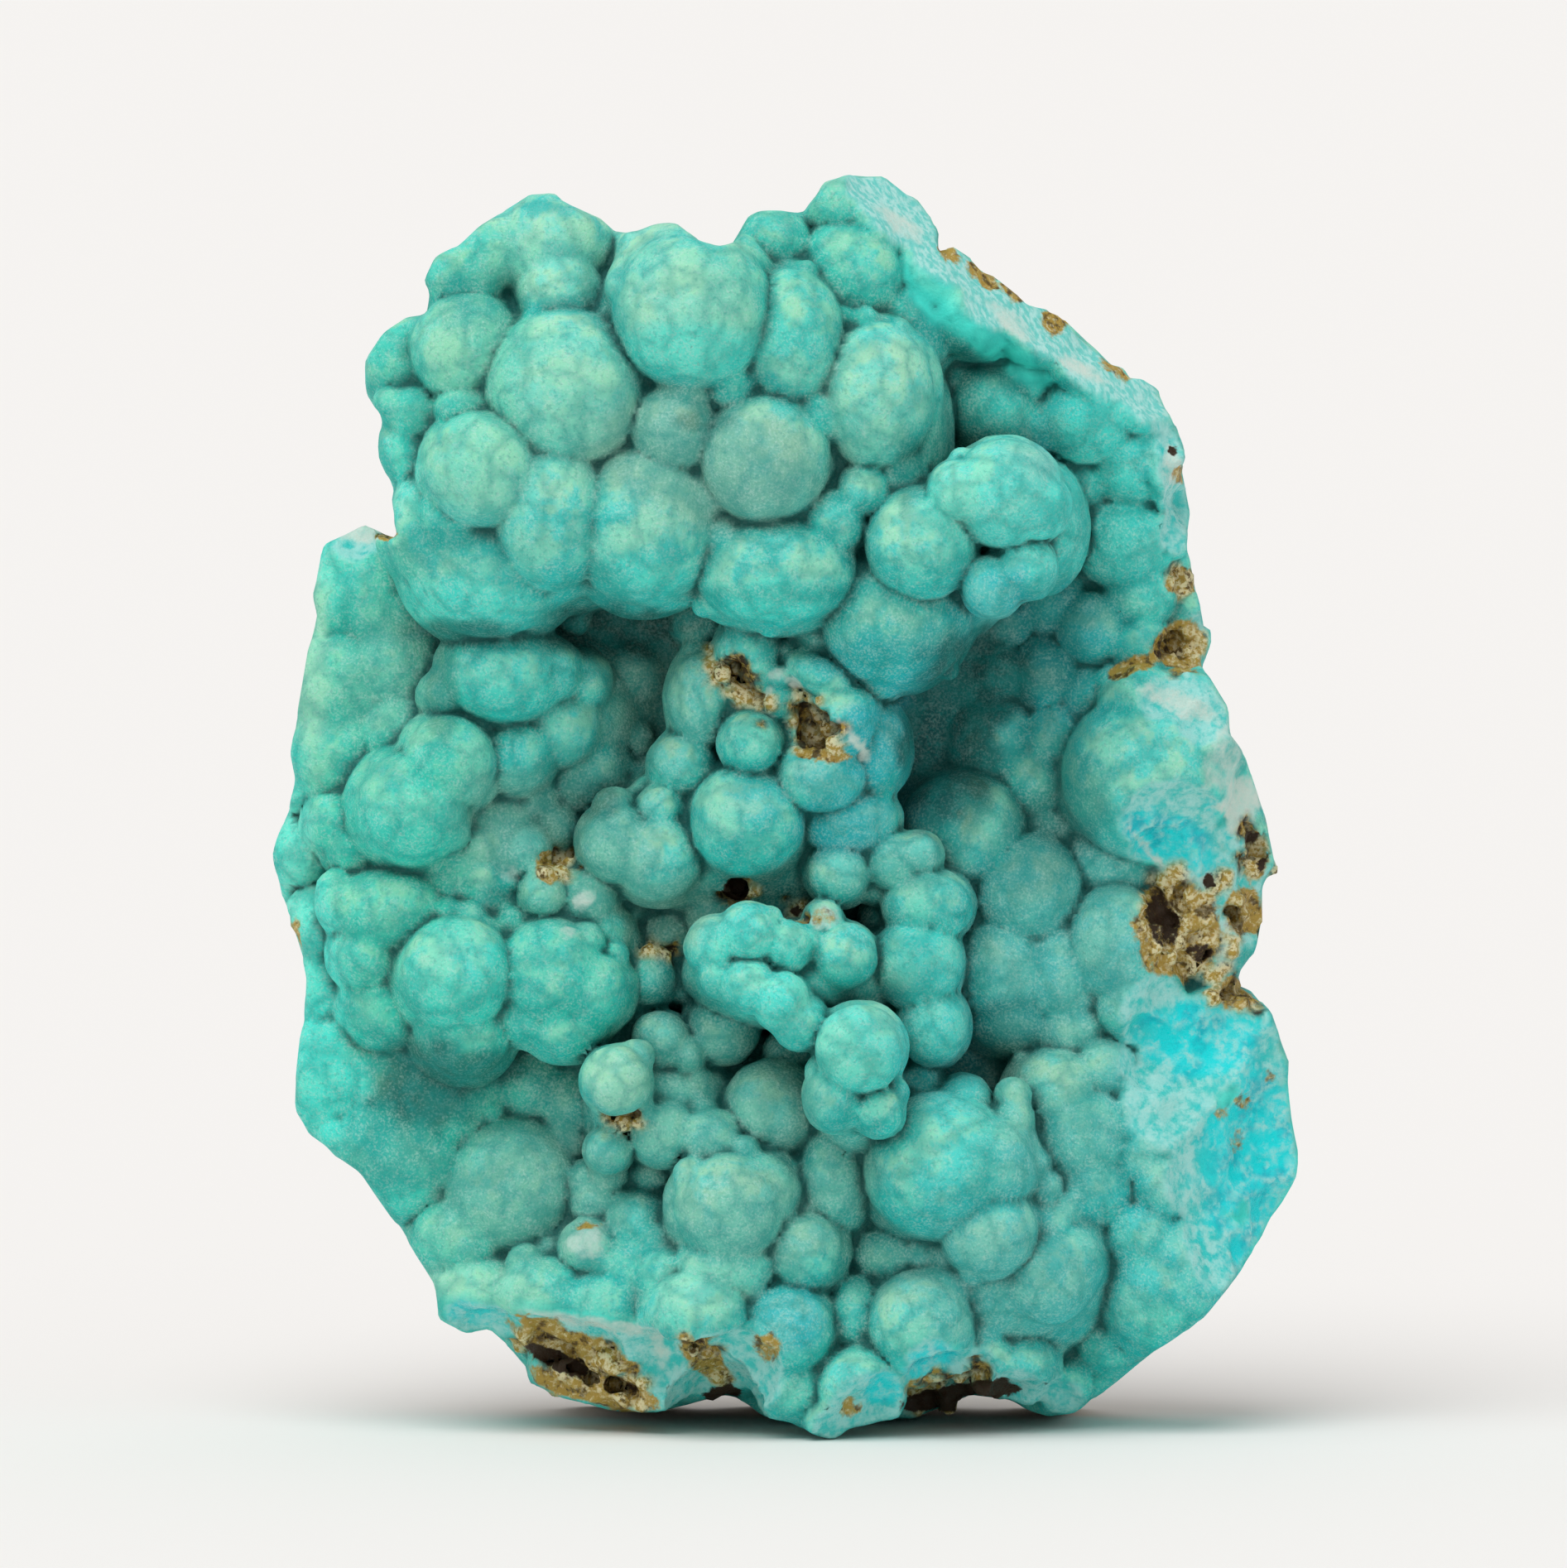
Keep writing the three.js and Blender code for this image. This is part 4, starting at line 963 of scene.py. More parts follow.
# Patches as seen from the front: across, up, half width, half height, turn in degrees and strength.
PATCHES: dict[Mark, tuple[Row, ...]] = {
    Mark.OCHRE: (
        (-38.3, 85.8, 1.2, 0.6, 10, 0.8), (-47.3, 45, 0.7, 4, 0, 0.7), (15.8, 113, 1.1, 0.7, -30, 0.9),
        (18.8, 110.9, 2.4, 0.8, -35, 1), (22, 109, 1.4, 0.7, -35, 0.8), (26, 106.3, 1.4, 0.8, -40, 0.8),
        (32.2, 101.8, 1.8, 0.7, -30, 0.8), (38.3, 91.5, 0.9, 1, 0, 0.7), (38.3, 81.2, 1.5, 1.2, 0, 1),
        (38.3, 75, 2.6, 2.3, 0, 1), (34, 73.3, 3.4, 0.9, 25, 0.8), (37.8, 47.6, 4, 4.6, 0, 1),
        (35.7, 44.6, 1.4, 1.6, 0, 0.7), (44.6, 49.3, 2, 2.4, 0, 0.9), (43.6, 41.5, 2.2, 1.6, 0, 0.9),
        (45.5, 54, 1.4, 2, 0, 0.7), (3.4, 64.7, 2.8, 0.8, -8, 0.9), (3.7, 48.6, 1.5, 1.1, 0, 0.5),
        (-22.7, 53.6, 1.4, 1.6, 0, 0.9), (-20.6, 7.2, 6.6, 1.9, -20, 1),
        (-19.2, 19.2, 1.3, 0.4, 0, 0.7), (-18.4, 3.4, 6, 1.9, -14, 1), (-7.6, 6, 3.6, 1.3, -42, 0.9),
        (-1.8, 7.5, 1.5, 1.4, 0, 0.7), (6.5, 1.6, 1.1, 1, 0, 0.7), (44.4, 31, 1, 0.8, 0, 0.6),
        (47, 33.5, 0.8, 0.8, 0, 0.6), (42.3, 29.8, 0.8, 0.6, 0, 0.6), (43.8, 27.4, 1, 1.4, 0, 0.5),
        (13.2, 3.4, 1.6, 1.2, 12, 0.6),
    ),
    Mark.RUST: (
        (37.5, 94, 0.6, 0.6, 0, 0.9), (36.6, 48.6, 1.4, 2.8, 15, 0.7), (40, 45.4, 1.6, 1, 0, 0.6),
        (45, 56.5, 0.8, 0.8, 0, 0.8), (41, 52.3, 0.6, 0.6, 0, 0.8), (46, 54, 0.8, 1, 0, 0.7),
        (-21.8, 6, 3.6, 0.9, -26, 0.9), (-6, 2.8, 1.8, 0.8, 0, 0.9), (17.2, 2.6, 5.4, 1.3, 10, 1),
        (-4.7, 51.6, 1.2, 0.9, 0, 0.9), (1, 49.5, 0.6, 0.5, 0, 0.9), (-8.6, 103.6, 0.35, 0.35, 0, 0.9),
    ),
    Mark.CHALK: (
        (-41.5, 86, 3.2, 0.9, -8, 0.7), (11, 115.8, 3, 1, -35, 0.6), (21.5, 106.4, 3.6, 0.9, -38, 0.6),
        (28.6, 101.6, 3, 0.7, -30, 0.7), (37.4, 92.6, 0.9, 2.2, 0, 0.6), (38, 69.6, 4.4, 1.2, -22, 0.6),
        (42.4, 64, 2, 4, -15, 0.5), (44, 59.6, 2, 3, 0, 0.7), (39, 52.8, 3.4, 0.9, -10, 0.5),
        (42.6, 46, 1.2, 3, 0, 0.5), (-18, 9.6, 7, 0.7, -10, 0.6), (-12, 7, 0.9, 2.4, 12, 0.5),
        (35, 55.4, 2.8, 0.4, -48, 0.6), (6.6, 66.2, 0.5, 2.6, 38, 0.7), (7.5, 64.4, 0.5, 0.6, 0, 0.5),
        (-26.5, 53, 1.3, 1.1, 0, 0.45), (-19.5, 50.5, 1.3, 0.7, 20, 0.6), (-21, 47.3, 0.9, 0.7, 0, 0.5),
        (-19, 17.6, 2.2, 1.7, 0, 0.5), (3.7, 48.6, 1.8, 1.2, 0, 0.5), (-12, 45.2, 0.8, 0.6, 0, 0.5),
        (-0.6, 72.3, 0.9, 0.7, 0, 0.5), (0.6, 71.6, 1.2, 0.5, -30, 0.6), (-1.4, 70.2, 0.6, 1, 0, 0.5),
    ),
    Mark.SKY: (
        (8.4, 65.2, 3.6, 4.6, 0, 0.7), (6, 58.3, 4.6, 3.6, 0, 0.6), (13.5, 67, 4, 9, 0, 0.7),
        (3.4, 62.6, 3, 2.6, 0, 0.5), (0.4, 10, 3.6, 3.2, 0, 0.6), (9, 73.5, 6, 2.6, 0, 0.45),
        (33, 44, 3, 3.4, 0, 0.4), (23, 42, 5, 5, 0, 0.35), (24, 76, 8, 10, 0, 0.5),
        (-2.6, 60.4, 3, 2, 0, 0.3), (30, 90, 8, 11, 0, 0.45), (15, 38, 5, 9, 0, 0.4),
        (40, 30, 9, 18, 0, 0.35), (26, 48, 10, 10, 0, 0.25), (24, 18, 12, 12, 0, 0.25),
        (22, 86, 4, 5, 0, 0.3),
    ),
    Mark.LEAF: (
        (-40, 62, 10, 26, 0, 0.6), (-33, 104, 9, 14, 0, 0.5), (-36, 32, 12, 14, 0, 0.5),
        (-30, 16, 9, 8, -40, 0.4), (-22, 44, 8, 12, 0, 0.3), (2, 112, 12, 8, 0, 0.3),
    ),
    Mark.DRUSE: (
        (-6, 92, 10, 6, 0, 0.8), (-13, 95, 7, 4, 30, 0.8), (-19, 56, 7, 8, 0, 0.6),
        (-12, 70, 6, 7, 0, 0.4), (-10, 31, 9, 8, 0, 0.5), (-1, 30.4, 5, 5, 0, 0.5),
        (-24, 22, 9, 7, 0, 0.6), (-3, 20, 9, 5, 0, 0.6), (26, 31, 8, 10, 0, 0.4),
        (27, 48, 7, 12, 0, 0.4), (20, 14, 10, 6, 0, 0.4), (10, 54, 7, 3, 0, 0.4),
        (-11, 49, 5, 4, 0, 0.6), (6, 24, 3, 4, 0, 0.5), (-38, 72, 5, 6, 0, 0.4),
        (-27, 58, 5, 5, 0, 0.6),
    ),
    # Painted shadow under overhanging lumps and in shaded pockets.
    Mark.SHADE: (
        (-16, 76.4, 7, 2.6, 0, 1), (16, 65, 5, 8, 0, 1), (-9, 41, 4, 3, 0, 0.3), (19, 72, 6, 5, 0, 1),
        (24, 74, 6, 4, 0, 0.6), (28, 79, 6, 3, 0, 0.4), (-8, 96.6, 3, 1, 0, 0.5),
        (-18, 60, 2.6, 2, 0, 0.7), (-29.4, 34.4, 4.4, 1.8, 0, 0.8), (-34.6, 32.6, 5.4, 4.4, 0, 0.9),
        (22, 38, 4, 3, 0, 0.4), (-33, 70, 1.6, 5, 0, 0.5), (-31, 76.4, 5, 1.2, 0, 0.8),
        (-21, 60, 3, 5, 0, 0.4), (28, 60, 3, 5, 0, 0.5), (24, 56, 4, 6, 0, 0.4), (0, 80, 7, 1, 0, 0.3),
        (12, 92, 1.4, 4, 0, 0.5), (20, 101.6, 5, 1, -35, 0.7), (23, 65, 4, 3, 0, 0.3),
    ),
    # Mostly painted light in shadowed pockets and on undersides; the top right bar's own brighter
    # turquoise.
    Mark.BRIGHT_AND_PAINTED_LIGHT: (
        (-45.4, 41, 3, 12, 0, 0.8), (-43.4, 31, 4, 5, 0, 0.8), (-47.4, 55, 1.8, 10, 0, 0.7),
        (-43, 83.5, 3, 3, 0, 0.6), (-31, 79.5, 6, 2.4, 0, 0.6), (-14, 82, 4, 2, 0, 0.5),
        (-1, 79.4, 5, 2, 0, 0.8), (31, 96.4, 5, 4, 0, 0.7), (30.4, 88, 5.4, 8, 0, 0.75),
        (21, 98, 5, 3, 0, 0.4), (14, 39, 3.4, 4, 0, 0.4), (36, 86, 3, 8, 0, 0.5),
        (-38, 24, 3, 4, 30, 0.5), (44, 20, 3, 4, 0, 0.5), (20, 103.6, 7, 1.4, -40, 0.7),
        (25, 84, 2, 5, 0, 0.6), (-37, 92, 2, 5, 0, 0.4), (16.2, 28, 5, 5, 0, 0.3),
        (-8.8, 103.4, 6, 2.6, 0, 0.7), (14, 45, 3, 4, 0, 0.5), (20, 88, 8, 5, -20, 0.4),
        (7.3, 36.2, 4, 4, 0, 0.4), (-2, 43.6, 7, 5, -20, 0.5), (-31, 43, 5, 5, 0, 0.4),
        (-27, 71, 5, 4, 0, 0.3), (-36, 58, 5, 4, 0, 0.3),
    ),
    Mark.GLASS: (
        (37.4, 56, 5, 2.6, -20, 1), (40.4, 37, 6.4, 4, 0, 1), (45.6, 25, 5.6, 10, 0, 1),
        (14, 6, 2.8, 1.6, 20, 0.9), (9.4, 3.4, 1.8, 1.8, 0, 0.8), (45, 31, 3, 4, 0, 0.7),
        (43, 60, 2, 4, 0, 0.5), (14.4, 108.6, 4.4, 2, -52, 0.9), (20.6, 103.6, 6, 1.5, -36, 0.9),
        (-30.6, 11, 3, 1.4, -10, 0.5), (-20, 10.2, 6, 1, -12, 0.5),
    ),
    Mark.TEAL: (
        (15, 106, 5, 1.6, -45, 0.8), (22, 102.2, 4, 1.2, -30, 0.6), (-38, 27, 5, 5, 0, 0.6),
        (31, 85, 4, 6, 0, 0.4), (-30, 108, 4, 3, 0, 0.4), (-18, 80, 3, 3, 0, 0.5),
        (10, 76, 5, 4, 0, 0.4), (-33, 84, 4, 3, 0, 0.3),
    ),
    Mark.MINT: (
        (-46.8, 50, 1.6, 10, 0, 1), (-45.6, 73, 1.6, 11, 0, 1), (-29, 13, 6, 2.2, -10, 0.8),
        (-8, 13, 5, 2.4, 0, 0.6), (24, 92.4, 3, 1.6, -20, 1), (16.9, 88.6, 2.4, 2.2, 0, 0.7),
        (20.6, 77, 2, 1.8, 0, 0.6), (7.3, 37, 3.4, 3.4, 0, 0.45), (20.4, 87.6, 7, 4.4, -20, 0.4),
        (-8.8, 107.2, 6, 6, 0, 0.8), (-13.5, 115, 3, 1, 0, 0.6), (-16.2, 33.1, 3, 3, 0, 0.8),
        (-21, 99.5, 7, 7, 0, 0.5), (-29, 92, 5, 5, 0, 0.6), (8.7, 99, 5, 6, 0, 0.5),
        (-22, 112, 7, 4, 0, 0.5), (-30.6, 103.5, 4.6, 4.6, 0, 0.5),
    ),
}


@dataclass(frozen=True)
class Colour:
    """A colour as it looks on a screen, red, green and blue from 0 to 255."""

    red: int
    green: int
    blue: int

    def linear(self) -> tuple[float, float, float, float]:
        """The same colour as light: ((share + 0.055) / 1.055)^2.4, or share / 12.92 below 0.04045."""
        shares = (channel / 255 for channel in (self.red, self.green, self.blue))
        light = (((s + 0.055) / 1.055) ** 2.4 if s > 0.04045 else s / 12.92 for s in shares)
        return (*light, 1.0)


Value = Socket | Colour | float

# Where a Mix node keeps its share, its two colours and its mixed colour among its sockets.
MIX_SHARE, MIX_FIRST, MIX_SECOND, MIX_RESULT = 0, 6, 7, 2


class Wiring:
    """Adds nodes to one material's tree and joins them."""

    def __init__(self, name: str) -> None:
        """Starts a material with its Principled BSDF, its output and its object coordinates."""
        self.material = bpy.data.materials.new(name)
        self.material.use_nodes = True
        self.tree = self.material.node_tree
        self.shader = self.tree.nodes["Principled BSDF"]
        self.coordinates = self.tree.nodes.new("ShaderNodeTexCoord").outputs["Object"]
        self.noises: dict[Blotch, Socket] = {}

    def feed(self, socket: Socket, value: Value) -> None:
        """Joins a node's output to a socket, or sets the socket to a plain value."""
        if isinstance(value, Socket):
            self.tree.links.new(value, socket)
        elif isinstance(value, Colour):
            socket.default_value = value.linear()
        else:
            socket.default_value = value

    def mask(self, name: str) -> Socket:
        """The mesh's mask of that name."""
        node = self.tree.nodes.new("ShaderNodeAttribute")
        node.attribute_name = name
        return node.outputs["Fac"]

    def noise(self, blotch: Blotch) -> Socket:
        """Cloudy noise from 0 to 1, made once for each size of blotch."""
        if blotch not in self.noises:
            node = self.tree.nodes.new("ShaderNodeTexNoise")
            self.feed(node.inputs["Vector"], self.coordinates)
            node.inputs["Scale"].default_value = 1 / (blotch.value * MM)
            node.inputs["Detail"].default_value = 3
            node.inputs["Roughness"].default_value = 0.65
            self.noises[blotch] = node.outputs["Fac"]
        return self.noises[blotch]

    def fibres(self, lean: float = 35.0, stretch: float = 0.08, width: float = 0.5) -> Socket:
        """Streaks across the top right edge.

        Args:
            lean: how far they lean to the right, in degrees.
            stretch: their width as a share of their length.
            width: their width in millimetres.

        Returns:
            0 between the streaks and 1 on them.
        """
        mapping = self.tree.nodes.new("ShaderNodeMapping")
        self.feed(mapping.inputs["Vector"], self.coordinates)
        mapping.inputs["Rotation"].default_value = (0, math.radians(lean), 0)
        mapping.inputs["Scale"].default_value = (1, 1, stretch)
        node = self.tree.nodes.new("ShaderNodeTexNoise")
        self.feed(node.inputs["Vector"], mapping.outputs["Vector"])
        node.inputs["Scale"].default_value = 1 / (width * MM)
        return self.step(node.outputs["Fac"], 0.36, 0.66)

    def calculate(self, operation: str, first: Value, second: Value) -> Socket:
        """One sum on two values, such as ADD or MULTIPLY."""
        node = self.tree.nodes.new("ShaderNodeMath")
        node.operation = operation
        self.feed(node.inputs[0], first)
        self.feed(node.inputs[1], second)
        return node.outputs[0]

    def times(self, first: Value, second: Value) -> Socket:
        """The first value times the second."""
        return self.calculate("MULTIPLY", first, second)

    def plus(self, first: Value, second: Value) -> Socket:
        """The first value plus the second."""
        return self.calculate("ADD", first, second)

    def less(self, first: Value, second: Value) -> Socket:
        """The first value less the second."""
        return self.calculate("SUBTRACT", first, second)

    def step(self, value: Value, start: float, end: float, low: float = 0.0, high: float = 1.0) -> Socket:
        """A smooth step of a value from low at start to high at end."""
        node = self.tree.nodes.new("ShaderNodeMapRange")
        node.interpolation_type = "SMOOTHSTEP"
        for name, amount in (("From Min", start), ("From Max", end), ("To Min", low), ("To Max", high)):
            node.inputs[name].default_value = amount
        self.feed(node.inputs["Value"], value)
        return node.outputs["Result"]

    def mix(self, share: Value, first: Value, second: Value) -> Socket:
        """A colour that goes from the first to the second as the share goes from 0 to 1."""
        node = self.tree.nodes.new("ShaderNodeMix")
        node.data_type = "RGBA"
        self.feed(node.inputs[MIX_SHARE], share)
        self.feed(node.inputs[MIX_FIRST], first)
        self.feed(node.inputs[MIX_SECOND], second)
        return node.outputs[MIX_RESULT]

    def stain(self, base: Value, name: str, share: float, colour: Value) -> Socket:
        """The base with a colour where a mesh mask is, up to a share."""
        return self.mix(self.times(self.mask(name), share), base, colour)

    def speckle(self, base: Value, blotch: Blotch, start: float, end: float, share: float,
                colour: Value) -> Socket:
        """The base with a colour, up to a share, where a noise rises from start to end."""
        return self.mix(self.step(self.noise(blotch), start, end, 0, share), base, colour)

    def ragged(self, name: str, blotch: Blotch, amount: float = 0.7, soft: float = 0.15) -> Socket:
        """A mesh mask whose edge is broken up by noise: a smooth step of mask + amount x (noise - 1/2)."""
        spread = self.times(self.less(self.noise(blotch), 0.5), amount)
        return self.step(self.plus(self.mask(name), spread), 0.5 - soft, 0.5 + soft)


@dataclass(frozen=True)
class AragoniteFinish:
    """The sugary turquoise crust, its glassy breaks, its rusty pits and its rock back."""

    mint: Colour = Colour(174, 234, 196)
    aqua: Colour = Colour(102, 228, 216)
    turquoise: Colour = Colour(46, 210, 196)
    teal: Colour = Colour(18, 184, 176)
    # The sides that face down: a deeper turquoise, partly the crust's own colour and partly painted shade.
    deeper_and_shaded_underside: Colour = Colour(14, 192, 188)
    sky: Colour = Colour(20, 174, 192)
    # Painted shade: the dark teal laid in the creases between lumps, over a deeper teal of thick crust
    # there; the shade patches use it too.
    shaded_crease: Colour = Colour(0, 78, 74)
    # Painted shade: the greyer, darker teal laid in the valleys between lumps.
    shaded_valley: Colour = Colour(50, 136, 126)
    # Painted shade: the dark teal laid in deep hollows.
    hollow: Colour = Colour(18, 96, 92)
    # Mostly painted light for the bright patches, and the clear blue of glassy breaks.
    bright: Colour = Colour(72, 236, 220)
    deep: Colour = Colour(4, 146, 140)
    sugar: Colour = Colour(190, 228, 216)
    fresh: Colour = Colour(0, 224, 228)
    fresh_deep: Colour = Colour(0, 186, 200)
    pale_break: Colour = Colour(56, 204, 198)
    frost: Colour = Colour(176, 230, 224)
    fibre: Colour = Colour(110, 210, 202)
    chalk: Colour = Colour(206, 226, 216)
    ochre: Colour = Colour(172, 144, 64)
    ochre_pale: Colour = Colour(222, 212, 168)
    leaf: Colour = Colour(52, 204, 166)
    druse: Colour = Colour(126, 176, 156)
    rust: Colour = Colour(52, 36, 20)
    rock: Colour = Colour(140, 128, 102)
    rock_dark: Colour = Colour(116, 106, 84)
    rock_pale: Colour = Colour(186, 176, 150)
    # The surface: how rough the dull and the bright sugar grains are and how much smoother a break is, how
    # much light goes in and how far in millimetres, how glossy it is, and the bump's strength and height.
    dull_grain: float = 0.72
    bright_grain: float = 0.47
    break_polish: float = 0.3
    glow: float = 0.15
    glow_reach: Row = (0.3, 1.2, 1.1)
    gloss: float = 0.3
    bump_strength: float = 0.8
    bump_height: float = 0.14

    def material(self) -> bpy.types.Material:
        """Makes the stone's one material, which tells its surfaces apart by the masks on the mesh."""
        w = Wiring("aragonite")
        grain = w.noise(Blotch.SUGAR)
        base = self.crust(w, grain)
        base = self.broken(w, base)
        base = w.mix(w.ragged(Mark.CHALK.value, Blotch.FLAKE, 0.8, 0.35), base, self.chalk)
        base = w.mix(w.ragged("rock", Blotch.CLOUD), base, self.rock_back(w))
        base = self.rusty(w, base)
        w.feed(w.shader.inputs["Base Color"], base)
        matt = w.step(grain, 0.35, 0.75, self.dull_grain, self.bright_grain)
        smooth = w.times(w.mask("fresh"), self.break_polish)
        w.feed(w.shader.inputs["Roughness"], w.less(matt, smooth))
        w.shader.inputs["Subsurface Weight"].default_value = self.glow
        w.shader.inputs["Subsurface Radius"].default_value = self.glow_reach
        w.shader.inputs["Subsurface Scale"].default_value = MM
        w.shader.inputs["Specular IOR Level"].default_value = self.gloss
        bump = w.tree.nodes.new("ShaderNodeBump")
        bump.inputs["Strength"].default_value = self.bump_strength
        bump.inputs["Distance"].default_value = self.bump_height * MM
        w.feed(bump.inputs["Height"], w.plus(grain, w.times(w.noise(Blotch.FLECK), 1.1)))
        w.feed(w.shader.inputs["Normal"], bump.outputs["Normal"])
        return w.material

    def crust(self, w: Wiring, grain: Socket) -> Socket:
        """The crust's colour: cloudy crowns paler partly by painted light, valleys and thin creases
        darkened by painted shade, and sugary grains over all.

        Args:
            w: the material's wiring.
            grain: the noise of the sugar grains.

        Returns:
            The colour.
        """
        cloud = w.step(w.noise(Blotch.CLOUD), 0.38, 0.62)
        patchy = w.step(w.noise(Blotch.CLOUD), 0.42, 0.6)
        base = w.mix(cloud, self.turquoise, self.teal)
        pale = w.mix(patchy, self.mint, self.aqua)
        base = w.mix(w.step(w.mask("tint"), 0.4, 1, 0, 0.25), base, pale)
        # Painted shade, over the crust's own deeper turquoise, on the sides that face down.
        base = w.stain(base, "deeper_and_shaded_underside", 0.7, self.deeper_and_shaded_underside)
        # Paler where the crust faces up and forward, towards the light: partly paler frost, partly painted
        # light.
        frosted_and_lit_crown = w.times(w.mask("frosted_and_lit_crown"), w.step(w.noise(Blotch.DRIFT), 0.36, 0.6, 0.35, 0.9))
        base = w.mix(frosted_and_lit_crown, base, pale)
        # Painted shade: the valleys between lumps greyed and darkened.
        base = w.stain(base, "shaded_valley", 0.7, self.shaded_valley)
        # Painted shade: deep hollows darkened.
        base = w.stain(base, "hollow", 0.6, self.hollow)
        stains = (
            (Mark.LEAF, self.leaf, 0.7), (Mark.DRUSE, self.druse, 0.8), (Mark.MINT, self.mint, 0.55),
            # The bright patches are mostly painted light.
            (Mark.SKY, self.sky, 0.9), (Mark.BRIGHT_AND_PAINTED_LIGHT, self.bright, 0.9), (Mark.TEAL, self.deep, 0.9),
            # Painted shadow, in the dark teal of the creases.
            (Mark.SHADE, self.shaded_crease, 0.9),
        )
        for mark, colour, share in stains:
            base = w.stain(base, mark.value, share, colour)
        blotch = w.times(w.less(w.noise(Blotch.FLAKE), 0.5), 0.4)
        lift = w.plus(blotch, w.times(w.mask("shaded_valley"), 0.05))
        dim = w.calculate("MAXIMUM", w.mask(Mark.GLASS.value), w.times(w.mask(Mark.SHADE.value), 0.55))
        clear = w.less(1.0, dim)
        sugar = w.step(w.plus(grain, lift), 0.42, 0.78, 0.0, 0.55)
        base = w.mix(w.times(sugar, clear), base, self.sugar)
        base = w.speckle(base, Blotch.GRIT, 0.5, 0.7, 0.35, self.deep)
        base = w.stain(base, Mark.GLASS.value, 0.75, self.bright)
        base = w.stain(base, "web", 0.45, self.deep)
        # Painted shade in the creases between lumps, partly over a deeper teal of the crust's own.
        return w.stain(base, "shaded_crease", 0.9, self.shaded_crease)

    def broken(self, w: Wiring, base: Socket) -> Socket:
        """Adds the broken faces: clear in their middles, frosted along their edges, fibrous at the top.

        Args:
            w: the material's wiring.
            base: the colour under them.

        Returns:
            The colour with the broken faces.
        """
        cloudy = w.step(w.noise(Blotch.CLOUD), 0.46, 0.66)
        clear = w.mix(w.mask(Mark.GLASS.value), self.pale_break, w.mix(cloudy, self.fresh, self.fresh_deep))
        glassy = w.step(w.mask(Mark.GLASS.value), 0.0, 1.0, 0.12, -0.04)
        chips = w.step(w.plus(w.noise(Blotch.FLAKE), glassy), 0.5, 0.72, 0, 0.7)
        clear = w.mix(chips, clear, self.frost)
        flakes = w.step(w.noise(Blotch.FLECK), 0.38, 0.62, 0.1, 0.75)
        clear = w.mix(w.times(w.mask("ridge"), flakes), clear, self.frost)
        base = w.mix(w.mask("fresh"), base, clear)
        return w.mix(w.mask("fibre"), base, w.mix(w.fibres(), self.fibre, self.frost))

    def rusty(self, w: Wiring, base: Socket) -> Socket:
        """Adds the pits and stains: rust in the hollows, ochre round them and pale crumbs.

        Args:
            w: the material's wiring.
            base: the colour under them.

        Returns:
            The colour with the pits and stains.
        """
        ochre = w.speckle(self.ochre, Blotch.GRIT, 0.5, 0.7, 0.8, self.ochre_pale)
        ochre = w.speckle(ochre, Blotch.FLAKE, 0.5, 0.64, 0.8, self.rust)
        base = w.mix(w.ragged(Mark.OCHRE.value, Blotch.FLECK, 1.0, 0.22), base, ochre)
        walls = w.mix(w.step(w.noise(Blotch.FLECK), 0.42, 0.6), self.rust, ochre)
        base = w.mix(w.mask("pit"), base, walls)
        crumbs = w.mix(w.step(w.noise(Blotch.GRIT), 0.42, 0.58), ochre, self.ochre_pale)
        base = w.mix(w.mask("crumb"), base, crumbs)
        return w.mix(w.ragged(Mark.RUST.value, Blotch.FLECK, 1.1), base, self.rust)

    def rock_back(self, w: Wiring) -> Socket:
        """The rock behind the crust: earthy, darker in its furrows and paler on its ridges."""
        rock = w.speckle(self.rock, Blotch.DRIFT, 0.34, 0.66, 1, self.rock_dark)
        rock = w.speckle(rock, Blotch.FLAKE, 0.4, 0.7, 0.5, self.rock_pale)
        rock = w.speckle(rock, Blotch.CLOUD, 0.52, 0.74, 0.5, self.ochre)
        rock = w.speckle(rock, Blotch.GRIT, 0.52, 0.7, 0.35, self.rust)
        rock = w.stain(rock, "shaded_crease", 0.8, self.rust)
        return w.stain(rock, "ridge", 0.35, self.rock_pale)


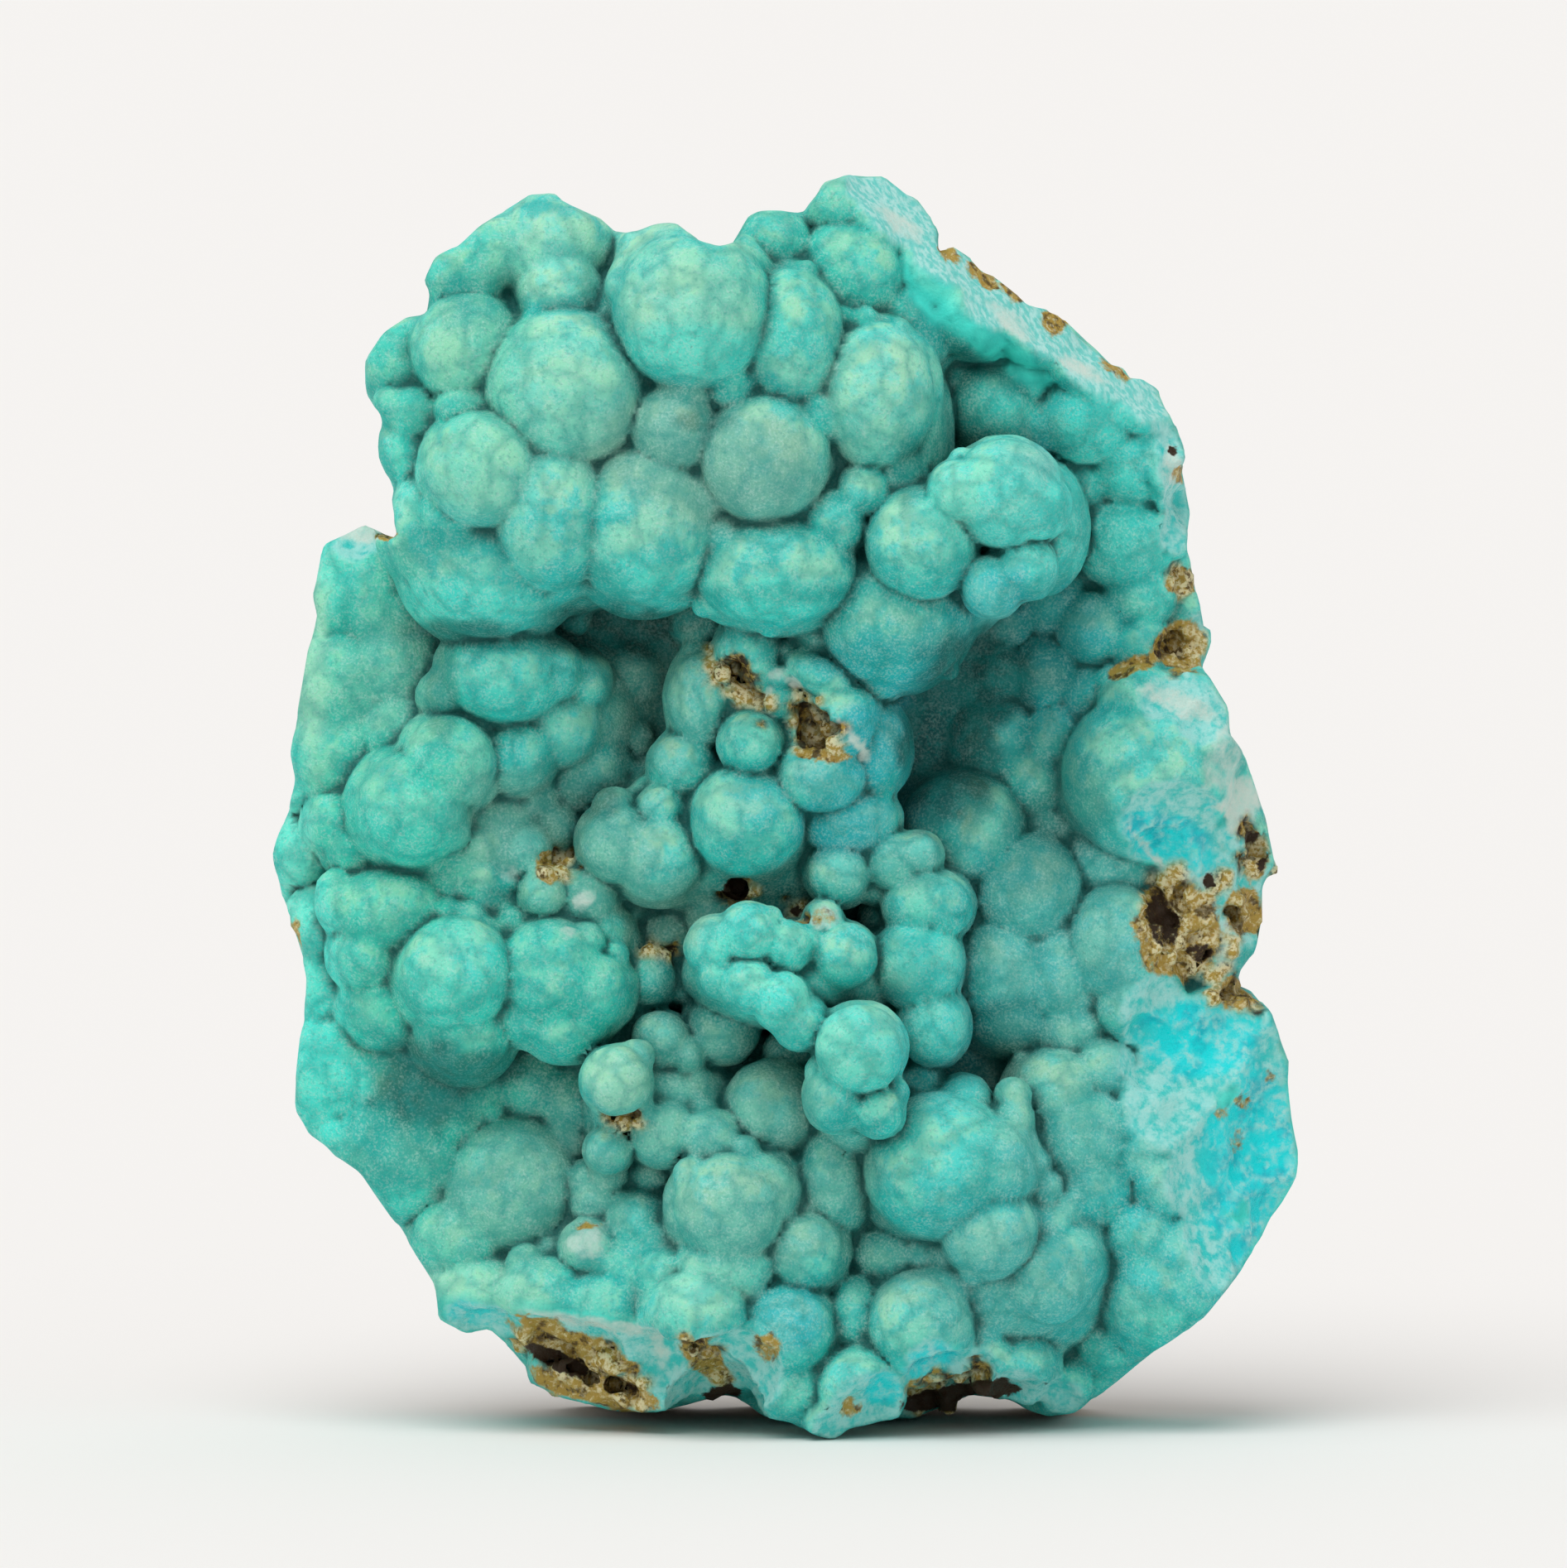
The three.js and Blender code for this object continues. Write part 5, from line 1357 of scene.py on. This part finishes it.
@dataclass
class Specimen:
    """The whole stone as one closed skin, with the masks that its finish reads."""

    step: float = 0.5
    slab: BrokenSlab = field(default_factory=BrokenSlab)
    crust: Crust = field(default_factory=Crust)
    breaks: Breaks = field(default_factory=Breaks)
    finish: AragoniteFinish = field(default_factory=AragoniteFinish)
    most_triangles: int = 190000
    # The small cells that cover the lumps: how far apart they are, how high they stand, and the width of
    # the lines between them as a share of their size.
    cell_size: float = 3.9
    cell_relief: float = 0.2
    cell_line: float = 0.22
    # The shell-shaped scoops of the broken faces, by the same three measures.
    scoop_size: float = 3.0
    scoop_depth: float = 0.7
    scoop_line: float = 0.16
    # How deep the rusty patches are pitted, the furrows of the rock back and the unevenness of it all.
    crumble: float = 0.6
    rock_grit: float = 0.9
    unevenness: float = 0.1
    # Below this height the skin keeps its flat feet.
    sole: float = 0.3
    # The way that the paler crowns face, up and forward much as the light falls: their paleness is partly
    # painted light, and the sides that face away take painted shade.
    lit_way: Row = (-0.1, -0.6, 0.79)

    def build(self) -> bpy.types.Object:
        """Grows the stone, skins it and dresses it.

        Returns:
            The finished piece, at the origin.
        """
        stone = Stone(step=self.step)
        self.slab.build(stone)
        LOG.info("slab laid out on %s points", stone.values.size)
        LOG.info("crust of %s lumps", self.crust.build(stone, self.slab))
        self.breaks.build(stone)
        floor = stone.axes[2][None, None, :]
        stone.values = np.maximum(stone.values, -floor).astype(np.float32)
        points, faces = biggest_shell(*stone.skin())
        points = stone.settle(points)
        LOG.info("skin of %s faces", len(faces))
        piece = self.thinned(self.mesh_of(points, faces))
        self.dress(piece, stone)
        piece.data.materials.append(self.finish.material())
        return piece

    @staticmethod
    def mesh_of(points: Array, faces: Array) -> bpy.types.Object:
        """A piece from points in millimetres and faces of four corners each."""
        mesh = bpy.data.meshes.new(NODE + "_skin")
        mesh.vertices.add(len(points))
        mesh.vertices.foreach_set("co", (points * MM).astype(np.float32).ravel())
        mesh.loops.add(faces.size)
        mesh.loops.foreach_set("vertex_index", faces.astype(np.int32).ravel())
        mesh.polygons.add(len(faces))
        mesh.polygons.foreach_set("loop_start", np.arange(0, faces.size, 4, dtype=np.int32))
        mesh.update(calc_edges=True)
        piece = bpy.data.objects.new(NODE + "_crust", mesh)
        bpy.context.scene.collection.objects.link(piece)
        return piece

    def thinned(self, piece: bpy.types.Object) -> bpy.types.Object:
        """Thins the skin to its most triangles, where it is flattest first."""
        triangles = 2 * len(piece.data.polygons)
        if triangles > self.most_triangles:
            modifier = piece.modifiers.new("thin", "DECIMATE")
            modifier.ratio = self.most_triangles / triangles
            ready = piece.evaluated_get(bpy.context.evaluated_depsgraph_get())
            mesh = bpy.data.meshes.new_from_object(ready)
            piece.modifiers.clear()
            piece.data = mesh
        return piece

    def dress(self, piece: bpy.types.Object, stone: Stone) -> None:
        """Moves the finest relief into the skin, writes its masks and sets it on the origin."""
        mesh = piece.data
        points = self.vectors(mesh, "co") / MM
        normals = self.vectors(mesh, "normal")
        nearest, second = cell_distances(points, self.cell_size, seed=71)
        scoop, edge = cell_distances(points, self.scoop_size, seed=72)
        masks = self.masks(stone, points, normals, ease(second - nearest, self.cell_line, 0.0))
        sharp = masks["fresh"] * ease(edge - scoop, self.scoop_line, 0.0)
        masks["ridge"] = np.maximum(masks["ridge"], sharp)
        for name, values in masks.items():
            layer = mesh.attributes.new(name, "FLOAT", "POINT")
            layer.data.foreach_set("value", values.astype(np.float32))
        lifted = points + normals * self.relief(points, masks, nearest, scoop)[:, None]
        lifted[:, 2] = np.where(points[:, 2] < self.sole, points[:, 2], np.maximum(lifted[:, 2], 0.0))
        mesh.vertices.foreach_set("co", ((lifted - MIDDLE) * MM).astype(np.float32).ravel())
        mesh.polygons.foreach_set("use_smooth", np.ones(len(mesh.polygons), bool))
        mesh.update()

    @staticmethod
    def vectors(mesh: bpy.types.Mesh, name: str) -> Array:
        """A mesh's places (co) or outward ways (normal), one in each row."""
        values = np.empty(len(mesh.vertices) * 3, np.float32)
        mesh.vertices.foreach_get(name, values)
        return values.reshape(-1, 3).astype(float)

    def relief(self, points: Array, masks: dict[str, Array], nearest: Array, scoop: Array) -> Array:
        """How far the finest relief lifts each point.

        The small cells are height x (0.4 - distance squared), and the scoops depth x (distance squared -
        0.4). The rock and the rusty patches are furrowed and pitted by noise.

        Args:
            points: the skin's points.
            masks: what shows where.
            nearest: the distance to the middle of the nearest small cell, as a share of the cells' size.
            scoop: the same for the scoops.

        Returns:
            Millimetres outwards.
        """
        crumbly = np.maximum(masks[Mark.OCHRE.value], masks[Mark.RUST.value])
        plain = (1 - masks["fresh"]) * (1 - crumbly) * (1 - masks["rock"])
        lift = self.unevenness * lattice_noise(points, 1.4, seed=32)
        lift += self.cell_relief * (0.4 - nearest ** 2) * plain
        lift += self.scoop_depth * (scoop ** 2 - 0.4) * masks["fresh"] * (1 - crumbly)
        furrows = np.abs(lattice_noise(points, 2.4, seed=35))
        furrows += 0.5 * np.abs(lattice_noise(points, 1.1, seed=36))
        lift -= self.rock_grit * masks["rock"] * furrows
        pitting = lattice_noise(points, 1.7, seed=33) + 0.5 * lattice_noise(points, 0.9, seed=34) - 0.4
        return lift + self.crumble * crumbly * pitting

    def masks(self, stone: Stone, points: Array, normals: Array, web: Array) -> dict[str, Array]:
        """What the finish reads at each point, as values from 0 to 1.

        A crease has more stone than half of the cube round it, a crown less. A hollow has more in a large
        cube in front of it. The rock back starts behind a ragged line round the rim, and the patches, which
        are placed as seen from the front, end before that line where the surface doesn't face forward.

        Args:
            stone: the grid.
            points: the skin's points.
            normals: their outward ways.
            web: how close each point is to the line between two small cells.

        Returns:
            The masks by name.
        """
        near = stone.sample(stone.inside_share(0.8), points)
        wide = stone.sample(stone.inside_share(2.0), points)
        far = stone.sample(stone.inside_share(7.0), points + 3.0 * normals)
        lit = normals @ np.array(self.lit_way)
        number = self.owners(stone, points - 0.3 * normals)
        dice = np.random.default_rng(seed=9).uniform(0, 1, CRUMB + 2)
        depth = points[:, 1]
        edge = depth + 2.2 * lattice_noise(points, 6.0, seed=51) + lattice_noise(points, 2.4, seed=52)
        fresh = stone.sample(stone.owner == FRESH, points)
        masks = {
            # The crease, valley and hollow masks place painted shade, and the crown and underside masks
            # painted light and shade by the way a point faces.
            "shaded_crease": ease(near, 0.55, 0.7),
            "deeper_and_shaded_underside": ease(lit, 0.3, -0.4),
            "web": web,
            "frosted_and_lit_crown": ease(lit, -0.1, 0.95) * ease(wide, 0.56, 0.43),
            "shaded_valley": np.maximum(ease(wide, 0.5, 0.7), ease(far, 0.3, 0.62)),
            "hollow": ease(far, 0.42, 0.8),
            "tint": dice[number],
            "rock": ease(edge, 3.0, 6.0),
            "fresh": fresh,
            "fibre": stone.sample(stone.owner == FIBRE, points),
            "pit": stone.sample(stone.owner == PIT, points),
            "crumb": stone.sample(stone.owner == CRUMB, points),
            "ridge": np.maximum(ease(near, 0.47, 0.38), 4 * fresh * (1 - fresh)),
        }
        seen = np.stack([points[:, 0], seen_height(points[:, 2], depth)], axis=1)
        wobble = 0.22 * lattice_noise(points, 1.6, seed=61)
        facing = ease(-normals[:, 1], 0.15, 0.5) * ease(depth, 12.0, 6.0)
        front = np.maximum(facing, ease(edge, 2.0, -2.0))
        for mark, rows in PATCHES.items():
            masks[mark.value] = self.patches(rows, seen, wobble) * front
        return masks

    @staticmethod
    def owners(stone: Stone, points: Array) -> Array:
        """The number of the lump that each place belongs to, from the nearest grid point."""
        index = np.rint((points - np.array(stone.low)) / stone.step).astype(int)
        index = np.clip(index, 0, np.array(stone.owner.shape) - 1)
        return stone.owner[tuple(index.T)]

    @staticmethod
    def patches(rows: tuple[Row, ...], seen: Array, wobble: Array) -> Array:
        """One mask for all patches of a kind: the strongest of strength x (1 - smooth step of distance).

        The distance is the length of the offset turned into the patch's axes and divided by its half sizes.

        Args:
            rows: the patches.
            seen: across and up of each point.
            wobble: noise that makes the patches' edges uneven.

        Returns:
            Values from 0 to 1.
        """
        mask = np.zeros(len(seen))
        for across, up, wide, tall, turn, strength in rows:
            along, rise = turned(seen[:, 0] - across, seen[:, 1] - up, -turn)
            far = np.hypot(along / wide, rise / tall) + wobble
            mask = np.maximum(mask, strength * ease(far, 1.3, 0.7))
        return mask


@dataclass(frozen=True)
class Studio:
    """A plain pale floor and plain soft light."""

    # The floor's reach in metres, its number of corners, its colour, how dull it is and how glossy.
    floor_reach: float = 9.0
    floor_corners: int = 64
    floor_colour: Colour = Colour(243, 241, 239)
    floor_roughness: float = 0.9
    floor_gloss: float = 0.1
    # The even light all round: its colour as amounts of light, and its strength.
    room_tint: Row = (1.0, 0.995, 0.985, 1)
    room_strength: float = 0.55
    # The wide sun: its strength, its width, and the places in metres that it shines from and to.
    sun_strength: float = 1.75
    sun_angle: float = math.radians(50)
    sun_from: Row = (-0.35, -0.65, 1.4)
    sun_to: Row = (0, 0, 0.06)

    def build(self) -> None:
        """Lays the floor and hangs the lights."""
        self.floor()
        world = bpy.data.worlds.new("soft_room")
        bpy.context.scene.world = world
        world.use_nodes = True
        background = world.node_tree.nodes["Background"]
        background.inputs["Color"].default_value = self.room_tint
        background.inputs["Strength"].default_value = self.room_strength
        self.sun()

    def floor(self) -> None:
        """A disc round the origin: corners at the cosine and sine of equal angles, times its reach."""
        turns = np.linspace(0, 2 * math.pi, self.floor_corners, endpoint=False)
        ring = np.stack([np.cos(turns), np.sin(turns), np.zeros_like(turns)], axis=1) * self.floor_reach
        mesh = bpy.data.meshes.new("floor")
        mesh.from_pydata(ring.tolist(), [], [list(range(self.floor_corners))])
        piece = bpy.data.objects.new("floor", mesh)
        bpy.context.scene.collection.objects.link(piece)
        w = Wiring("pale_floor")
        w.shader.inputs["Base Color"].default_value = self.floor_colour.linear()
        w.shader.inputs["Roughness"].default_value = self.floor_roughness
        w.shader.inputs["Specular IOR Level"].default_value = self.floor_gloss
        mesh.materials.append(w.material)

    def sun(self) -> None:
        """One wide soft sun, whose own downward axis is turned along the way it shines."""
        light = bpy.data.lights.new("soft_sun", "SUN")
        light.angle = self.sun_angle
        light.energy = self.sun_strength
        lamp = bpy.data.objects.new("soft_sun", light)
        bpy.context.scene.collection.objects.link(lamp)
        way = Vector(self.sun_to) - Vector(self.sun_from)
        turn = way.to_track_quat("-Z", "Y").to_matrix().to_4x4()
        lamp.matrix_world = Matrix.Translation(self.sun_from) @ turn


@dataclass(frozen=True)
class PhotographView:
    """The camera of the photograph: far off, straight on and looking down a little."""

    # How much the frame holds at the slab's middle plane, and what is seen at its middle: across and up.
    frame_width: float = 151.44
    across: float = -0.12
    up: float = 61.7
    # The lens and the film's width, and how far the camera sees in metres.
    lens: float = 1600.0
    film: float = 36.0
    reach: float = 50.0

    def build(self) -> None:
        """Sets the camera where its frame at the slab's middle plane is as wide as the photograph's."""
        camera = bpy.data.cameras.new("photograph")
        camera.lens = self.lens
        camera.sensor_width = self.film
        camera.clip_end = self.reach
        eye = bpy.data.objects.new("photograph", camera)
        bpy.context.scene.collection.objects.link(eye)
        target = np.array([self.across, 0.0, self.up / math.cos(LOOK_DOWN)]) - MIDDLE
        distance = self.frame_width * self.lens / self.film
        place = target + distance * np.array([0.0, -math.cos(LOOK_DOWN), math.sin(LOOK_DOWN)])
        turn = Matrix.Rotation(math.pi / 2 - LOOK_DOWN, 4, "X")
        eye.matrix_world = Matrix.Translation(Vector(place * MM)) @ turn
        bpy.context.scene.camera = eye


def main() -> None:
    """Builds the stone, the studio and the view, in that order."""
    logging.basicConfig(level=logging.INFO, format="%(name)s: %(message)s")
    bpy.context.scene.view_settings.view_transform = "Standard"
    piece = Specimen().build()
    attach(piece, "root")
    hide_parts(NODE)
    LOG.info("%s: %s faces", piece.name, len(piece.data.polygons))
    Studio().build()
    PhotographView().build()


if __name__ == "__main__":
    main()
